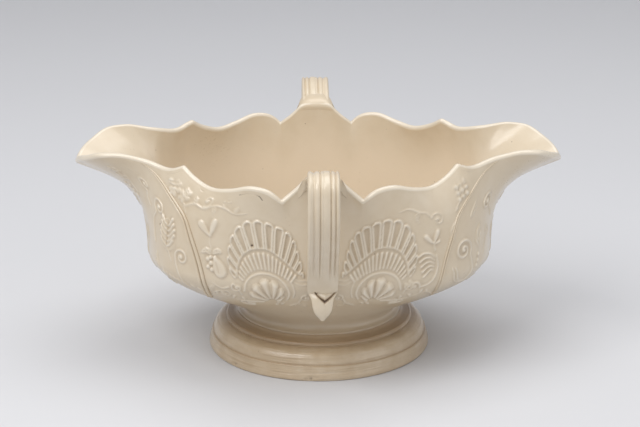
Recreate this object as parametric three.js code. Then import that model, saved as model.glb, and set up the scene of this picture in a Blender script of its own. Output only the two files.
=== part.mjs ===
import * as THREE from 'three';
import { mergeVertices } from 'three/addons/utils/BufferGeometryUtils.js';

// A double-lipped sauceboat on a spreading foot, with a reeded strap handle on each long side.
// Millimetres, +Z up. The origin is the centre of the foot's resting face. The lips point along
// +X and -X; the handles stand on the front (-Y) and the back (+Y).

// Joints of slip between the clay pieces
const CLEARANCE = 0.3; // left between a piece and the slip that it is set in
const SEAM_THICKNESS = 0.9; // ring of slip between the foot and the bowl
const SEAM_SPREAD = 1.2; // how far the ring's lower edge reaches past the neck
const SEAM_INSET = 0.7; // how far it stays back from the foot's hollow
const PAD_THICKNESS = 0.6; // slip between a handle and the bowl's wall

// Foot, with its heights above the table
const FOOT_RADIUS = 46.5;
const FOOT_REST_WIDTH = 4.0; // flat ring that the vessel stands on
const FOOT_HEIGHT = 13.7;
const FOOT_BAND_HEIGHT = 6.0; // nearly upright band at the bottom
const FOOT_BAND_SLOPE = 1.2; // how far the band draws in over its height
const FOOT_STEP = 0.7; // small turned step over the band
const FOOT_EDGE_HEIGHT = 1.0; // worn edge above the resting face
const FOOT_BEAD_RADIUS = 1.1;
const FOOT_BEAD_OFFSET = 3.4; // from the neck to the centre of the bead's section
const FOOT_SEAT_WIDTH = 4.1; // flat seat under the neck, round the foot's hollow
const FOOT_WALL = 4.2;

// Bowl, with its heights above the seat where it joins the foot
const WALL = 3.0;
const RIM_THICKNESS = 2.5;
const BOWL_SEAT_RADIUS = 34.6; // neck of the bowl, on the foot
const NECK_PULL_RADIUS = 22.0; // the control point that draws the neck in
const NECK_PULL_HEIGHT = 6.0;
const BELLY_HALF_LENGTH = 70.7;
const BELLY_HALF_WIDTH = 57.5;
const BELLY_HEIGHT = 31.1;
const BELLY_TUCK = 1.0; // how far the control point under the belly lies inside it
const BELLY_TUCK_HEIGHT = 16.8;
const BELLY_SQUARENESS = 2.67; // 2 is an ellipse, more is squarer
const FLARE_START = -0.022; // share of the flare at the waist's control point
const FLARE_START_RISE = 0.6;
const FLARE_END = 0.341; // share of the flare at the control point under the rim
const FLARE_END_RISE = 0.772;

// Rim, from the tip of a lip to the seat of a handle
const LIP_REACH = 100.6; // centre to the tip of a lip
const LIP_HALF_WIDTH = 24.0;
const LIP_LENGTH = 20.0; // tip to the widest part of the lip
const LIP_TIP_HEIGHT = 64.0;
const LIP_CREST_HEIGHT = 73.4;
const LIP_SAG = 2.5; // how far the rim sinks between the lip's crest and the shoulder
const SHOULDER_HALF_WIDTH = 35.4; // peak where a lip meets the side
const SHOULDER_HEIGHT = 72.8;
const SHOULDER_FROM_DIP = 11.0;
const DIP_HEIGHT = 66.8; // low wave beside the shoulder
const DIP_INSET = 13.8; // inside the mouth's side
const DIP_FROM_BUMP = 15.0;
const BUMP_HEIGHT = 69.7; // high wave beside the notch
const BUMP_INSET = 3.0;
const BUMP_FROM_NOTCH = 12.6;
const NOTCH_HEIGHT = 64.6; // sharp notch each side of a handle
const NOTCH_FROM_SEAT = 9.2;
const MOUTH_HALF_WIDTH = 59.4;
const HANDLE_SEAT_HEIGHT = 74.2;
const HANDLE_SEAT_INSET = 1.0; // the raised rim under a handle lies inside the mouth's side
const HANDLE_SEAT_MARGIN = 0.2; // the raised rim is this much wider than the strap, each side

// Strap handles, measured out from the raised rim and up or down from its top
const STRAP_WIDTH = 12.0;
const STRAP_THICKNESS = 4.2;
const REED_DEPTH = 0.55;
const HANDLE_REACH = 23.4; // middle of the strap at its farthest
const HANDLE_RISE = 4.4; // middle of the strap at its highest
const HANDLE_ROOT_DROP = 0.9; // middle of the strap at its root, below the rim's top
const CREASE_DROP = 45.2; // where the strap is pressed against the belly
const CREASE_THICKNESS = 2.4;
const CREASE_LENGTH = 1.6; // pressed flat along the wall
const TAIL_LENGTH = 11.6; // crease to the tip of the pointed tail
const TAIL_WIDTH = 11.0; // across the crease
const TAIL_KICK_OFFSET = 1.5; // how far the tail turns out again below the crease
const TAIL_TIP_THICKNESS = 1.0;
const PAD_LENGTH = 7.0;
const ROOT_SLIP_WIDTH = 11.6;
const TAIL_SLIP_WIDTH = 8.6;

// Fineness of the faceted surfaces
const RIM_STEPS = { lip: 2, side: 2, seat: 1 }; // steps between two stations of the rim
const BASE_RINGS = 2;
const LOWER_RINGS = 6;
const UPPER_RINGS = 6;
const FOOT_SEGMENTS = 60;
const HANDLE_STEPS = 32;

const bowlSeat = FOOT_HEIGHT + 2 * CLEARANCE + SEAM_THICKNESS;
const footMouth = BOWL_SEAT_RADIUS - FOOT_SEAT_WIDTH;
const seatY = MOUTH_HALF_WIDTH - HANDLE_SEAT_INSET;

const stoneware = (color, roughness) => new THREE.MeshStandardMaterial({ color, roughness, metalness: 0 });
const bowlGlaze = stoneware(0xd2c6b0, 0.34);
const footGlaze = stoneware(0xcabb9f, 0.38);
const handleGlaze = stoneware(0xd3c8b3, 0.36);
const slipGlaze = stoneware(0xc6b697, 0.42);

function named(name, geometry, material) {
  const mesh = new THREE.Mesh(geometry, material);
  mesh.name = name;
  return mesh;
}

// A closed body from points and triangles
function solidFrom(points, triangles) {
  const geometry = new THREE.BufferGeometry();
  geometry.setAttribute('position', new THREE.Float32BufferAttribute(points.flatMap((p) => p.toArray()), 3));
  geometry.setIndex(triangles);
  geometry.computeVertexNormals();
  return geometry;
}

// One closed skin over a stack of rings with equal counts, from a pole at the first point to a
// pole at the last. The rings run anticlockwise seen from the side that the stack rises to.
function skinBetweenPoles(firstPole, rings, lastPole) {
  const count = rings[0].length;
  const points = [firstPole, ...rings.flat(), lastPole];
  const at = (ring, k) => 1 + ring * count + (k % count);
  const triangles = [];
  for (let k = 0; k < count; k++) {
    triangles.push(0, at(0, k + 1), at(0, k));
    for (let ring = 0; ring + 1 < rings.length; ring++) {
      const [a, b, c, d] = [at(ring, k), at(ring, k + 1), at(ring + 1, k + 1), at(ring + 1, k)];
      triangles.push(a, b, c, a, c, d);
    }
    triangles.push(at(rings.length - 1, k), at(rings.length - 1, k + 1), points.length - 1);
  }
  return solidFrom(points, triangles);
}

// Stations of a quarter of the rim, in three runs that meet in sharp corners. Between two named
// places a station is given by its shares of the way along, in and up.
function rimRuns() {
  const between = (from, to, along, inward, up) => new THREE.Vector3(
    THREE.MathUtils.lerp(from.x, to.x, along),
    THREE.MathUtils.lerp(from.y, to.y, inward),
    THREE.MathUtils.lerp(from.z, to.z, up),
  );
  const point = (x, y, z) => new THREE.Vector3(x, y, z);
  const seatX = STRAP_WIDTH / 2 + HANDLE_SEAT_MARGIN;
  const notchX = seatX + NOTCH_FROM_SEAT;
  const bumpX = notchX + BUMP_FROM_NOTCH;
  const dipX = bumpX + DIP_FROM_BUMP;
  const shoulderX = dipX + SHOULDER_FROM_DIP;
  const tip = point(LIP_REACH, 0, LIP_TIP_HEIGHT);
  const crest = point(LIP_REACH - LIP_LENGTH, LIP_HALF_WIDTH, LIP_CREST_HEIGHT);
  const shoulder = point(shoulderX, SHOULDER_HALF_WIDTH, SHOULDER_HEIGHT);
  const dip = point(dipX, MOUTH_HALF_WIDTH - DIP_INSET, DIP_HEIGHT);
  const bump = point(bumpX, MOUTH_HALF_WIDTH - BUMP_INSET, BUMP_HEIGHT);
  const notch = point(notchX, MOUTH_HALF_WIDTH, NOTCH_HEIGHT);
  const seatEnd = point(seatX, seatY, HANDLE_SEAT_HEIGHT);
  const sagging = (along, inward, sag) => between(shoulder, crest, along, inward, 0)
    .add(point(0, 0, -sag * LIP_SAG));
  const lip = [
    tip,
    between(tip, crest, 0.07, 0.27, 0.26),
    between(tip, crest, 0.25, 0.6, 0.53),
    between(tip, crest, 0.575, 0.9, 0.89),
    crest,
    sagging(0.6, 0.86, 0.4),
    sagging(0.263, 0.42, 1),
    sagging(0.12, 0.13, 0.56),
    shoulder,
  ];
  const side = [
    shoulder,
    between(dip, shoulder, 0.59, 0.56, 0.43),
    dip,
    between(dip, bump, 0.467, 0.556, 0.31),
    bump,
    between(bump, notch, 0.476, 0.733, 0.157),
    between(bump, notch, 0.794, 1.067, 0.608),
    notch,
  ];
  const seat = [
    notch,
    between(notch, seatEnd, 0.37, 0.8, 0.3125),
    between(notch, seatEnd, 0.75, 1, 0.667),
    between(notch, seatEnd, 1, 1, 0.917),
    point(0, seatY, HANDLE_SEAT_HEIGHT),
  ];
  return [lip, side, seat];
}

const mirrored = (points, sx, sy) => points.map((p) => new THREE.Vector3(sx * p.x, sy * p.y, p.z));

// Points along a run of stations. The stations before and after it only shape its ends, so a run
// that ends on a plane of symmetry crosses it smoothly.
function pointsAlong(stations, steps, before = [], after = []) {
  const all = [...before, ...stations, ...after];
  const curve = new THREE.CatmullRomCurve3(all, false, 'centripetal');
  const points = [];
  for (let k = 0; k < (stations.length - 1) * steps; k++) {
    points.push(curve.getPoint((before.length + k / steps) / (all.length - 1)));
  }
  return points;
}

// The whole rim, anticlockwise from the tip of the +X lip
function rimLoop() {
  const [lip, side, seat] = rimRuns();
  const quarter = [
    ...pointsAlong(lip, RIM_STEPS.lip, mirrored([lip[1]], 1, -1)),
    ...pointsAlong(side, RIM_STEPS.side),
    ...pointsAlong(seat, RIM_STEPS.seat, [], mirrored([seat[seat.length - 2]], -1, 1)),
  ];
  const middle = seat[seat.length - 1];
  const back = [...quarter, middle, ...mirrored(quarter.slice(1), -1, 1).reverse()];
  return [...back, ...mirrored(back, -1, -1)];
}

function bezier(a, b, c, d, t) {
  const s = 1 - t;
  return s * s * s * a + 3 * s * s * t * b + 3 * s * t * t * c + t * t * t * d;
}

function bellyRadius(angle) {
  const length = Math.abs(Math.cos(angle)) / BELLY_HALF_LENGTH;
  const width = Math.abs(Math.sin(angle)) / BELLY_HALF_WIDTH;
  return (length ** BELLY_SQUARENESS + width ** BELLY_SQUARENESS) ** (-1 / BELLY_SQUARENESS);
}

// Outer wall in the upright plane through the axis and one point of the rim: radius and height
// for 0 at the neck, 1 at the belly and 2 at the rim
function wallProfile(rimPoint, stage) {
  const belly = bellyRadius(Math.atan2(rimPoint.y, rimPoint.x));
  if (stage <= 1) {
    return [
      bezier(BOWL_SEAT_RADIUS, NECK_PULL_RADIUS, belly - BELLY_TUCK, belly, stage),
      bezier(0, NECK_PULL_HEIGHT, BELLY_TUCK_HEIGHT, BELLY_HEIGHT, stage),
    ];
  }
  const rim = Math.hypot(rimPoint.x, rimPoint.y);
  const flare = rim - belly;
  const rise = rimPoint.z - BELLY_HEIGHT;
  const t = stage - 1;
  return [
    bezier(belly, belly + FLARE_START * flare, belly + FLARE_END * flare, rim, t),
    bezier(BELLY_HEIGHT, BELLY_HEIGHT + FLARE_START_RISE * rise, BELLY_HEIGHT + FLARE_END_RISE * rise, rimPoint.z, t),
  ];
}

function wallPoint(rimPoint, stage) {
  const [radius, height] = wallProfile(rimPoint, stage);
  const angle = Math.atan2(rimPoint.y, rimPoint.x);
  return new THREE.Vector3(radius * Math.cos(angle), radius * Math.sin(angle), height);
}

// Outward directions of a grid of rings, from the neighbours of each point
function outwardNormals(rings) {
  const count = rings[0].length;
  return rings.map((ring, j) => ring.map((_, k) => {
    const along = ring[(k + 1) % count].clone().sub(ring[(k + count - 1) % count]);
    const above = rings[Math.min(j + 1, rings.length - 1)][k];
    const below = rings[Math.max(j - 1, 0)][k];
    return along.cross(above.clone().sub(below)).normalize();
  }));
}

// The bowl: underside, outer wall, rounded rim, inner wall and floor in one closed skin
function bowlGeometry() {
  const rim = rimLoop();
  const disc = (radius) => rim.map((p) => {
    const angle = Math.atan2(p.y, p.x);
    return new THREE.Vector3(radius * Math.cos(angle), radius * Math.sin(angle), 0);
  });
  const outer = [];
  for (let j = 1; j <= BASE_RINGS; j++) outer.push(disc((BOWL_SEAT_RADIUS * j) / (BASE_RINGS + 1)));
  for (let j = 0; j <= LOWER_RINGS; j++) outer.push(rim.map((p) => wallPoint(p, j / LOWER_RINGS)));
  for (let j = 1; j < UPPER_RINGS; j++) outer.push(rim.map((p) => wallPoint(p, 1 + j / UPPER_RINGS)));
  const edge = rim.map((p) => wallPoint(p, 2));
  const normals = outwardNormals([...outer, edge]);

  // The edge is rounded about a line half the rim's thickness below and inside it
  const half = RIM_THICKNESS / 2;
  const edgeNormals = normals[normals.length - 1];
  const upward = edge.map((p, k) => p.clone().sub(outer[outer.length - 1][k]).normalize());
  const round = (turn) => edge.map((p, k) => p.clone()
    .addScaledVector(upward[k], half * (Math.sin(turn) - 1))
    .addScaledVector(edgeNormals[k], half * (Math.cos(turn) - 1)));
  const crown = [0, 1 / 3, 2 / 3, 1].map((share) => round(share * Math.PI));

  // The wall is thinner at the rim than below the waist
  const inner = outer.map((ring, j) => {
    const stage = (j - BASE_RINGS - LOWER_RINGS) / UPPER_RINGS;
    const thickness = stage > 0 ? WALL + (RIM_THICKNESS - WALL) * stage : WALL;
    return ring.map((p, k) => p.clone().addScaledVector(normals[j][k], -thickness));
  });
  const floor = new THREE.Vector3(0, 0, WALL);
  return skinBetweenPoles(new THREE.Vector3(0, 0, 0), [...outer, ...crown, ...inner.reverse()], floor);
}

// Revolves a closed section of [radius, height] points about the vertical axis
function turnedRing(section) {
  const profile = [...section, section[0]].map(([radius, height]) => new THREE.Vector2(radius, height));
  const geometry = new THREE.LatheGeometry(profile, FOOT_SEGMENTS);
  geometry.deleteAttribute('uv');
  geometry.deleteAttribute('normal');
  geometry.rotateX(Math.PI / 2);
  const merged = mergeVertices(geometry, 1e-4);
  merged.computeVertexNormals();
  return merged;
}

// Foot section, anticlockwise from the inner edge of its resting face
function footSection() {
  const bandTop = FOOT_RADIUS - FOOT_BAND_SLOPE;
  const stepRadius = bandTop - FOOT_STEP;
  const stepHeight = FOOT_BAND_HEIGHT + FOOT_STEP * 0.3;
  const beadCentre = BOWL_SEAT_RADIUS + FOOT_BEAD_OFFSET;
  const grooveRadius = beadCentre + FOOT_BEAD_RADIUS * 0.85;
  const grooveHeight = FOOT_HEIGHT - 1.6 * FOOT_BEAD_RADIUS;
  const rest = FOOT_RADIUS - FOOT_EDGE_HEIGHT * 0.2;
  const section = [
    [rest - FOOT_REST_WIDTH, 0],
    [rest, 0],
    [FOOT_RADIUS, FOOT_EDGE_HEIGHT],
    [bandTop, FOOT_BAND_HEIGHT],
    [stepRadius, stepHeight],
  ];
  // A round shoulder from the step to the groove under the bead
  const shoulderSteps = 5;
  for (let k = 1; k <= shoulderSteps; k++) {
    const turn = (k / shoulderSteps) * (Math.PI / 2);
    section.push([
      grooveRadius + (stepRadius - grooveRadius) * Math.cos(turn),
      stepHeight + (grooveHeight - stepHeight) * Math.sin(turn),
    ]);
  }
  const beadSteps = 4;
  for (let k = 0; k <= beadSteps; k++) {
    const turn = -0.15 * Math.PI + (k / beadSteps) * 0.65 * Math.PI;
    section.push([
      beadCentre + FOOT_BEAD_RADIUS * Math.cos(turn),
      FOOT_HEIGHT - FOOT_BEAD_RADIUS + FOOT_BEAD_RADIUS * Math.sin(turn),
    ]);
  }
  section.push(
    [footMouth, FOOT_HEIGHT],
    [footMouth + FOOT_WALL * 0.14, FOOT_HEIGHT - FOOT_WALL],
    [stepRadius - FOOT_WALL, FOOT_BAND_HEIGHT * 0.75],
  );
  return section;
}

// The seam fills the angle between the foot's top and the neck, with a hollow outer face
function seamSection() {
  const low = FOOT_HEIGHT + CLEARANCE;
  const high = low + SEAM_THICKNESS;
  const inner = footMouth + SEAM_INSET;
  return [
    [inner, low],
    [BOWL_SEAT_RADIUS + SEAM_SPREAD, low],
    [BOWL_SEAT_RADIUS + SEAM_SPREAD * 0.25, low + SEAM_THICKNESS * 0.35],
    [BOWL_SEAT_RADIUS - SEAM_SPREAD * 0.17, high],
    [inner, high],
  ];
}

// Distance from the axis to the outer wall under a handle, at a height above the seat
function wallAtHandle(height) {
  const rimPoint = new THREE.Vector3(0, seatY, HANDLE_SEAT_HEIGHT);
  let low = 0;
  let high = 2;
  for (let k = 0; k < 40; k++) {
    const stage = (low + high) / 2;
    if (wallProfile(rimPoint, stage)[1] < height) low = stage;
    else high = stage;
  }
  return wallProfile(rimPoint, low)[0];
}

// The point a distance out from the wall under a handle, square to it, and a distance up along it
function offWall(height, out, up = 0) {
  const reach = WALL / 6;
  const lean = (wallAtHandle(height + reach) - wallAtHandle(height - reach)) / (2 * reach);
  const length = Math.hypot(1, lean);
  return [wallAtHandle(height) + (out + lean * up) / length, height + (up - lean * out) / length];
}

const padStandoff = 2 * CLEARANCE + PAD_THICKNESS;
const rootHeight = HANDLE_SEAT_HEIGHT - HANDLE_ROOT_DROP;
const creaseHeight = HANDLE_SEAT_HEIGHT - CREASE_DROP;
const creaseStandoff = padStandoff + CREASE_THICKNESS / 2;

// Middle line of a strap as [distance from the axis, height, thickness, width, reeding]
function strapStations() {
  const out = (share) => seatY + HANDLE_REACH * share;
  const up = (share) => HANDLE_SEAT_HEIGHT + HANDLE_RISE * share;
  const down = (share) => HANDLE_SEAT_HEIGHT - CREASE_DROP * share;
  const lean = (share, drop) => {
    const near = wallAtHandle(down(drop)) + creaseStandoff;
    return [near + (seatY + HANDLE_REACH - near) * share, down(drop)];
  };
  const full = STRAP_THICKNESS;
  const [creaseOut, creaseLevel] = offWall(creaseHeight, creaseStandoff);
  const tail = (kick, share) => [creaseOut + TAIL_KICK_OFFSET * kick, creaseLevel - TAIL_LENGTH * share];
  return [
    [...offWall(rootHeight, padStandoff), full, STRAP_WIDTH, 0.4],
    [out(0.19), up(0.04), full, STRAP_WIDTH, 0.9],
    [out(0.34), up(0.42), full, STRAP_WIDTH, 1],
    [out(0.55), up(0.85), full, STRAP_WIDTH, 1],
    [out(0.77), up(1), full, STRAP_WIDTH, 1],
    [out(0.94), up(0.5), full, STRAP_WIDTH, 1],
    [out(1), down(0.075), full, STRAP_WIDTH, 1],
    [out(0.985), down(0.225), full, STRAP_WIDTH, 1],
    [...lean(0.833, 0.4), full, STRAP_WIDTH, 1],
    [...lean(0.575, 0.58), full, STRAP_WIDTH, 1],
    [...lean(0.3, 0.75), full * 0.95, STRAP_WIDTH, 1],
    [...lean(0.09, 0.89), full * 0.78, STRAP_WIDTH, 0.8],
    [...offWall(creaseHeight, creaseStandoff, CREASE_LENGTH / 2), CREASE_THICKNESS, TAIL_WIDTH, 0.2],
    [...offWall(creaseHeight, creaseStandoff, -CREASE_LENGTH / 2), CREASE_THICKNESS, TAIL_WIDTH, 0],
    [...tail(0.8, 0.3), CREASE_THICKNESS * 1.4, TAIL_WIDTH * 0.78, -1],
    [...tail(1, 0.62), CREASE_THICKNESS * 1.2, TAIL_WIDTH * 0.62, -1],
    [...tail(0.4, 1), TAIL_TIP_THICKNESS, TAIL_WIDTH * 0.2, -1],
  ];
}

// Outer face of the strap: share of half the width, and height of the reeds there
const REEDS = [
  [1, -0.5], [0.95, 0.55], [0.78, 0.6], [0.7, -0.45], [0.62, 0.45], [0.46, 0.45], [0.38, -0.45],
  [0.28, 0.75], [0, 1],
];

// One section of the strap, anticlockwise seen along the strap from its root to its tail:
// reeded outside, plain inside; a negative reeding gives the ridged section of the tail
function strapSection(thickness, width, reeding) {
  const half = width / 2;
  const face = REEDS.map(([share, reed]) => {
    const ridge = reeding < 0 ? -reeding * thickness * 0.35 * (0.5 - share) : 0;
    return [share * half, thickness / 2 + Math.max(reeding, 0) * REED_DEPTH * reed + ridge];
  });
  const outside = [...face, ...face.slice(0, -1).reverse().map(([x, n]) => [-x, n])];
  const inside = [[-half * 0.92, -thickness / 2], [0, -thickness * 0.535], [half * 0.92, -thickness / 2]];
  return [...outside, ...inside];
}

function strapGeometry() {
  const stations = strapStations();
  const path = new THREE.CatmullRomCurve3(stations.map(([y, z]) => new THREE.Vector3(0, -y, z)), false, 'centripetal');
  const shape = new THREE.CatmullRomCurve3(stations.map(([, , t, w]) => new THREE.Vector3(t, w, 0)), false, 'centripetal');
  // The root is cut square to the wall that it meets
  const [atWall, offIt] = [offWall(rootHeight, 0), offWall(rootHeight, padStandoff)];
  const square = new THREE.Vector3(0, atWall[0] - offIt[0], offIt[1] - atWall[1]).normalize();
  const rings = [];
  for (let k = 0; k <= HANDLE_STEPS; k++) {
    const share = k / HANDLE_STEPS;
    const centre = path.getPoint(share);
    const tangent = k === 0 ? square : path.getTangent(share);
    const outward = new THREE.Vector3(0, -tangent.z, tangent.y).multiplyScalar(-1);
    const place = share * (stations.length - 1);
    const before = Math.min(Math.floor(place), stations.length - 2);
    const reeding = THREE.MathUtils.lerp(stations[before][4], stations[before + 1][4], place - before);
    const { x: thickness, y: width } = shape.getPoint(share);
    rings.push(strapSection(thickness, width, reeding)
      .map(([x, n]) => new THREE.Vector3(x, 0, 0).add(centre).addScaledVector(outward, n)));
  }
  const middle = (ring) => ring.reduce((sum, p) => sum.add(p), new THREE.Vector3()).divideScalar(ring.length);
  return skinBetweenPoles(middle(rings[0]), rings, middle(rings[rings.length - 1]));
}

// Extrudes a closed outline of [distance from the axis, height] points across the width
function slipGeometry(outline, width) {
  const shape = new THREE.Shape(outline.map(([y, z]) => new THREE.Vector2(y, z)));
  const geometry = new THREE.ExtrudeGeometry(shape, { depth: width, bevelEnabled: false });
  geometry.deleteAttribute('uv');
  geometry.deleteAttribute('normal');
  // The outline's first direction becomes -Y, its second +Z, and the extrusion runs along -X
  const turn = new THREE.Matrix4().makeBasis(
    new THREE.Vector3(0, -1, 0),
    new THREE.Vector3(0, 0, 1),
    new THREE.Vector3(-1, 0, 0),
  );
  geometry.applyMatrix4(turn);
  geometry.translate(width / 2, 0, 0);
  const merged = mergeVertices(geometry, 1e-4);
  merged.computeVertexNormals();
  return merged;
}

// Smoothed band of slip between the raised rim and the end of the strap, over the rim's top
function rootSlipGeometry() {
  const half = STRAP_THICKNESS / 2;
  const outer = CLEARANCE + PAD_THICKNESS;
  const overRim = HANDLE_SEAT_HEIGHT + CLEARANCE;
  return slipGeometry([
    offWall(rootHeight, CLEARANCE, -half * 1.2),
    offWall(rootHeight, outer, -half * 1.05),
    offWall(rootHeight, outer, half),
    [seatY - RIM_THICKNESS * 0.16, rootHeight + half * 1.05],
    [seatY - RIM_THICKNESS * 0.7, overRim + PAD_THICKNESS * 0.8],
    [seatY - RIM_THICKNESS * 0.8, overRim],
    [seatY + CLEARANCE, overRim],
  ], ROOT_SLIP_WIDTH);
}

// Pad of slip that follows the belly behind the crease of the strap
function tailSlipGeometry() {
  const steps = 4;
  const inner = [];
  const outer = [];
  for (let k = 0; k <= steps; k++) {
    const height = creaseHeight - PAD_LENGTH * 0.3 + (k / steps) * PAD_LENGTH;
    inner.push(offWall(height, CLEARANCE));
    outer.push(offWall(height, CLEARANCE + PAD_THICKNESS));
  }
  return slipGeometry([...outer, ...inner.reverse()], TAIL_SLIP_WIDTH);
}

// A handle with its two joints of slip, built for the front and turned half round for the back
function handleGroup(side, turn) {
  const group = new THREE.Group();
  group.add(
    named(`${side}_handle`, strapGeometry(), handleGlaze),
    named(`${side}_handle_root_slip`, rootSlipGeometry(), slipGlaze),
    named(`${side}_handle_tail_slip`, tailSlipGeometry(), slipGlaze),
  );
  group.rotation.z = turn;
  return group;
}

const body = new THREE.Group();
body.position.z = bowlSeat;
body.add(
  named('bowl', bowlGeometry(), bowlGlaze),
  handleGroup('front', 0),
  handleGroup('back', Math.PI),
);

const sauceboat = new THREE.Group();
sauceboat.name = 'sauceboat';
sauceboat.add(
  named('foot', turnedRing(footSection()), footGlaze),
  named('foot_slip_seam', turnedRing(seamSection()), slipGlaze),
  body,
);

export default sauceboat;
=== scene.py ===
"""A double-lipped sauceboat of salt-glazed stoneware, press-moulded with relief, on a turned foot.

Lengths are in millimetres unless a name says metres, and a mesh is written in metres. The frame is
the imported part's own: +Z up, the lips along X, the handles on the front (-Y) and the back (+Y).
"""
import sys
import logging
import math
from dataclasses import dataclass, field
from enum import Enum
from typing import Any, Sequence

import bpy
import numpy as np
from mathutils import Matrix, Vector


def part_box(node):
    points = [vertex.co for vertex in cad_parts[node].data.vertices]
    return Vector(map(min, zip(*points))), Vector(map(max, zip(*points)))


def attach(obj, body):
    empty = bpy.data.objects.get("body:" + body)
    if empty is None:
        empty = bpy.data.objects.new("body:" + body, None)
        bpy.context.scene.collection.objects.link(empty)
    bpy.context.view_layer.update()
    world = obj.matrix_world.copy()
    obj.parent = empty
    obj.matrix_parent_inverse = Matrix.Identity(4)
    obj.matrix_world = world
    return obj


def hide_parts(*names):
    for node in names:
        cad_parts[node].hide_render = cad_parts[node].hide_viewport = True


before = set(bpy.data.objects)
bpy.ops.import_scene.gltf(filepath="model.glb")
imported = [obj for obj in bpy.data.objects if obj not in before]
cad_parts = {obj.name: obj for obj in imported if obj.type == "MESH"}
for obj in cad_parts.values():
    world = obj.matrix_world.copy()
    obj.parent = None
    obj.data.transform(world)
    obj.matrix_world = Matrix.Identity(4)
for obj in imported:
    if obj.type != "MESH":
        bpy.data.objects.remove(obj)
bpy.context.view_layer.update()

MM = 0.001
CURVE_STEPS = 7
CHART_SAMPLES = 1441
BODY = "root"
log = logging.getLogger("sauceboat")

Array = np.ndarray
Piece = bpy.types.Object
Finish = bpy.types.Material
Place = Sequence[float]
Places = Sequence[Place]
Colour = tuple[int, int, int]
Block = tuple[slice, slice]
Pairs = tuple[tuple[float, float], ...]


class Side(Enum):
    """A side of the vessel, with the quarter turns that bring the front or the right end to it."""

    FRONT = ("front", 0)
    BACK = ("back", 2)
    RIGHT = ("right", 0)
    LEFT = ("left", 2)

    @property
    def word(self) -> str:
        """The side's name in a piece's name."""
        return self.value[0]

    @property
    def turn(self) -> float:
        """Turn about +Z that brings the modelled side here, in radians."""
        return self.value[1] * math.pi / 2


def smoothstep(values: Array) -> Array:
    """Eases 0..1 in and out, and holds what lies outside."""
    held = np.clip(values, 0, 1)
    return held * held * (3 - 2 * held)


def bezier(a: Any, b: Any, c: Any, d: Any, t: Any) -> Any:
    """Value of a cubic curve with end values a and d, and control values b and c."""
    s = 1 - t
    return s**3 * a + 3 * s * s * t * b + 3 * s * t * t * c + t**3 * d


def blurred(values: Array, spread: float, axis: int = 0) -> Array:
    """Smooths an array along one axis with a bell of the given spread, mirrored at its ends.

    Args:
        values: The array.
        spread: Standard deviation of the bell, in samples.
        axis: The axis to smooth along.

    Returns:
        An array of the same shape.
    """
    reach = max(1, int(math.ceil(3 * spread)))
    steps = np.arange(-reach, reach + 1)
    bell = np.exp(-0.5 * (steps / spread) ** 2)
    bell /= bell.sum()
    moved = np.moveaxis(values, axis, 0)
    padded = np.pad(moved, [(reach, reach)] + [(0, 0)] * (moved.ndim - 1), mode="reflect")
    total = sum(weight * padded[k : k + len(moved)] for k, weight in enumerate(bell))
    return np.moveaxis(total, 0, axis)


def smooth_run(stations: Places, steps: int, before: Places = (), after: Places = ()) -> Array:
    """Points on a smooth curve through stations, a centripetal Catmull-Rom run.

    Args:
        stations: Points that the curve passes through.
        steps: Steps between two stations.
        before: Points before the run, which only shape its start.
        after: Points after the run, which only shape its end.

    Returns:
        An array of points, with the last station at its end.
    """
    points = np.array([*before, *stations, *after], float)
    padded = np.vstack([2 * points[0] - points[1], points, 2 * points[-1] - points[-2]])
    share = np.linspace(0, 1, steps, endpoint=False)[:, None]
    parts = []
    for k in range(len(before), len(before) + len(stations) - 1):
        p0, p1, p2, p3 = padded[k : k + 4]
        d0, d1, d2 = (math.sqrt(np.linalg.norm(b - a)) for a, b in ((p0, p1), (p1, p2), (p2, p3)))
        leave = ((p1 - p0) / d0 - (p2 - p0) / (d0 + d1) + (p2 - p1) / d1) * d1
        arrive = ((p2 - p1) / d1 - (p3 - p1) / (d1 + d2) + (p3 - p2) / d2) * d1
        parts.append(bezier(p1, p1 + leave / 3, p2 - arrive / 3, p2, share))
    return np.vstack([*parts, padded[len(before) + len(stations)][None]])


def lengths_along(points: Array) -> Array:
    """Distance of each point from the first, along the line of points."""
    return np.concatenate([[0.0], np.cumsum(np.linalg.norm(np.diff(points, axis=0), axis=1))])


def evenly(points: Array, count: int) -> Array:
    """The same line drawn again through a number of evenly spaced points."""
    place = lengths_along(points)
    wanted = np.linspace(0, place[-1], count)
    return np.stack([np.interp(wanted, place, points[:, k]) for k in range(points.shape[1])], -1)


def grid_normals(grid: Array, closed: bool) -> Array:
    """Outward directions of a grid of rings, rising rings running anticlockwise seen from above.

    Args:
        grid: Points, ring by ring.
        closed: Whether each ring's last point meets its first.

    Returns:
        Unit vectors, one for each point.
    """
    if closed:
        along = np.roll(grid, -1, axis=1) - np.roll(grid, 1, axis=1)
    else:
        along = np.gradient(grid, axis=1)
    normals = np.cross(along, np.gradient(grid, axis=0))
    return normals / np.linalg.norm(normals, axis=-1, keepdims=True)


def quads_of_rings(rows: int, columns: int, closed: bool, first: int = 0) -> Array:
    """Faces of a grid of rings, facing out where the rings run anticlockwise and rise.

    Args:
        rows: Number of rings.
        columns: Points in a ring.
        closed: Whether each ring's last point meets its first.
        first: Number of the grid's first point.

    Returns:
        One row of four point numbers for each face.
    """
    numbers = first + np.arange(rows * columns).reshape(rows, columns)
    if closed:
        numbers = np.hstack([numbers, numbers[:, :1]])
    a = numbers[:-1, :-1]
    b = numbers[:-1, 1:]
    c = numbers[1:, 1:]
    d = numbers[1:, :-1]
    return np.stack([a, b, c, d], -1).reshape(-1, 4)


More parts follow.
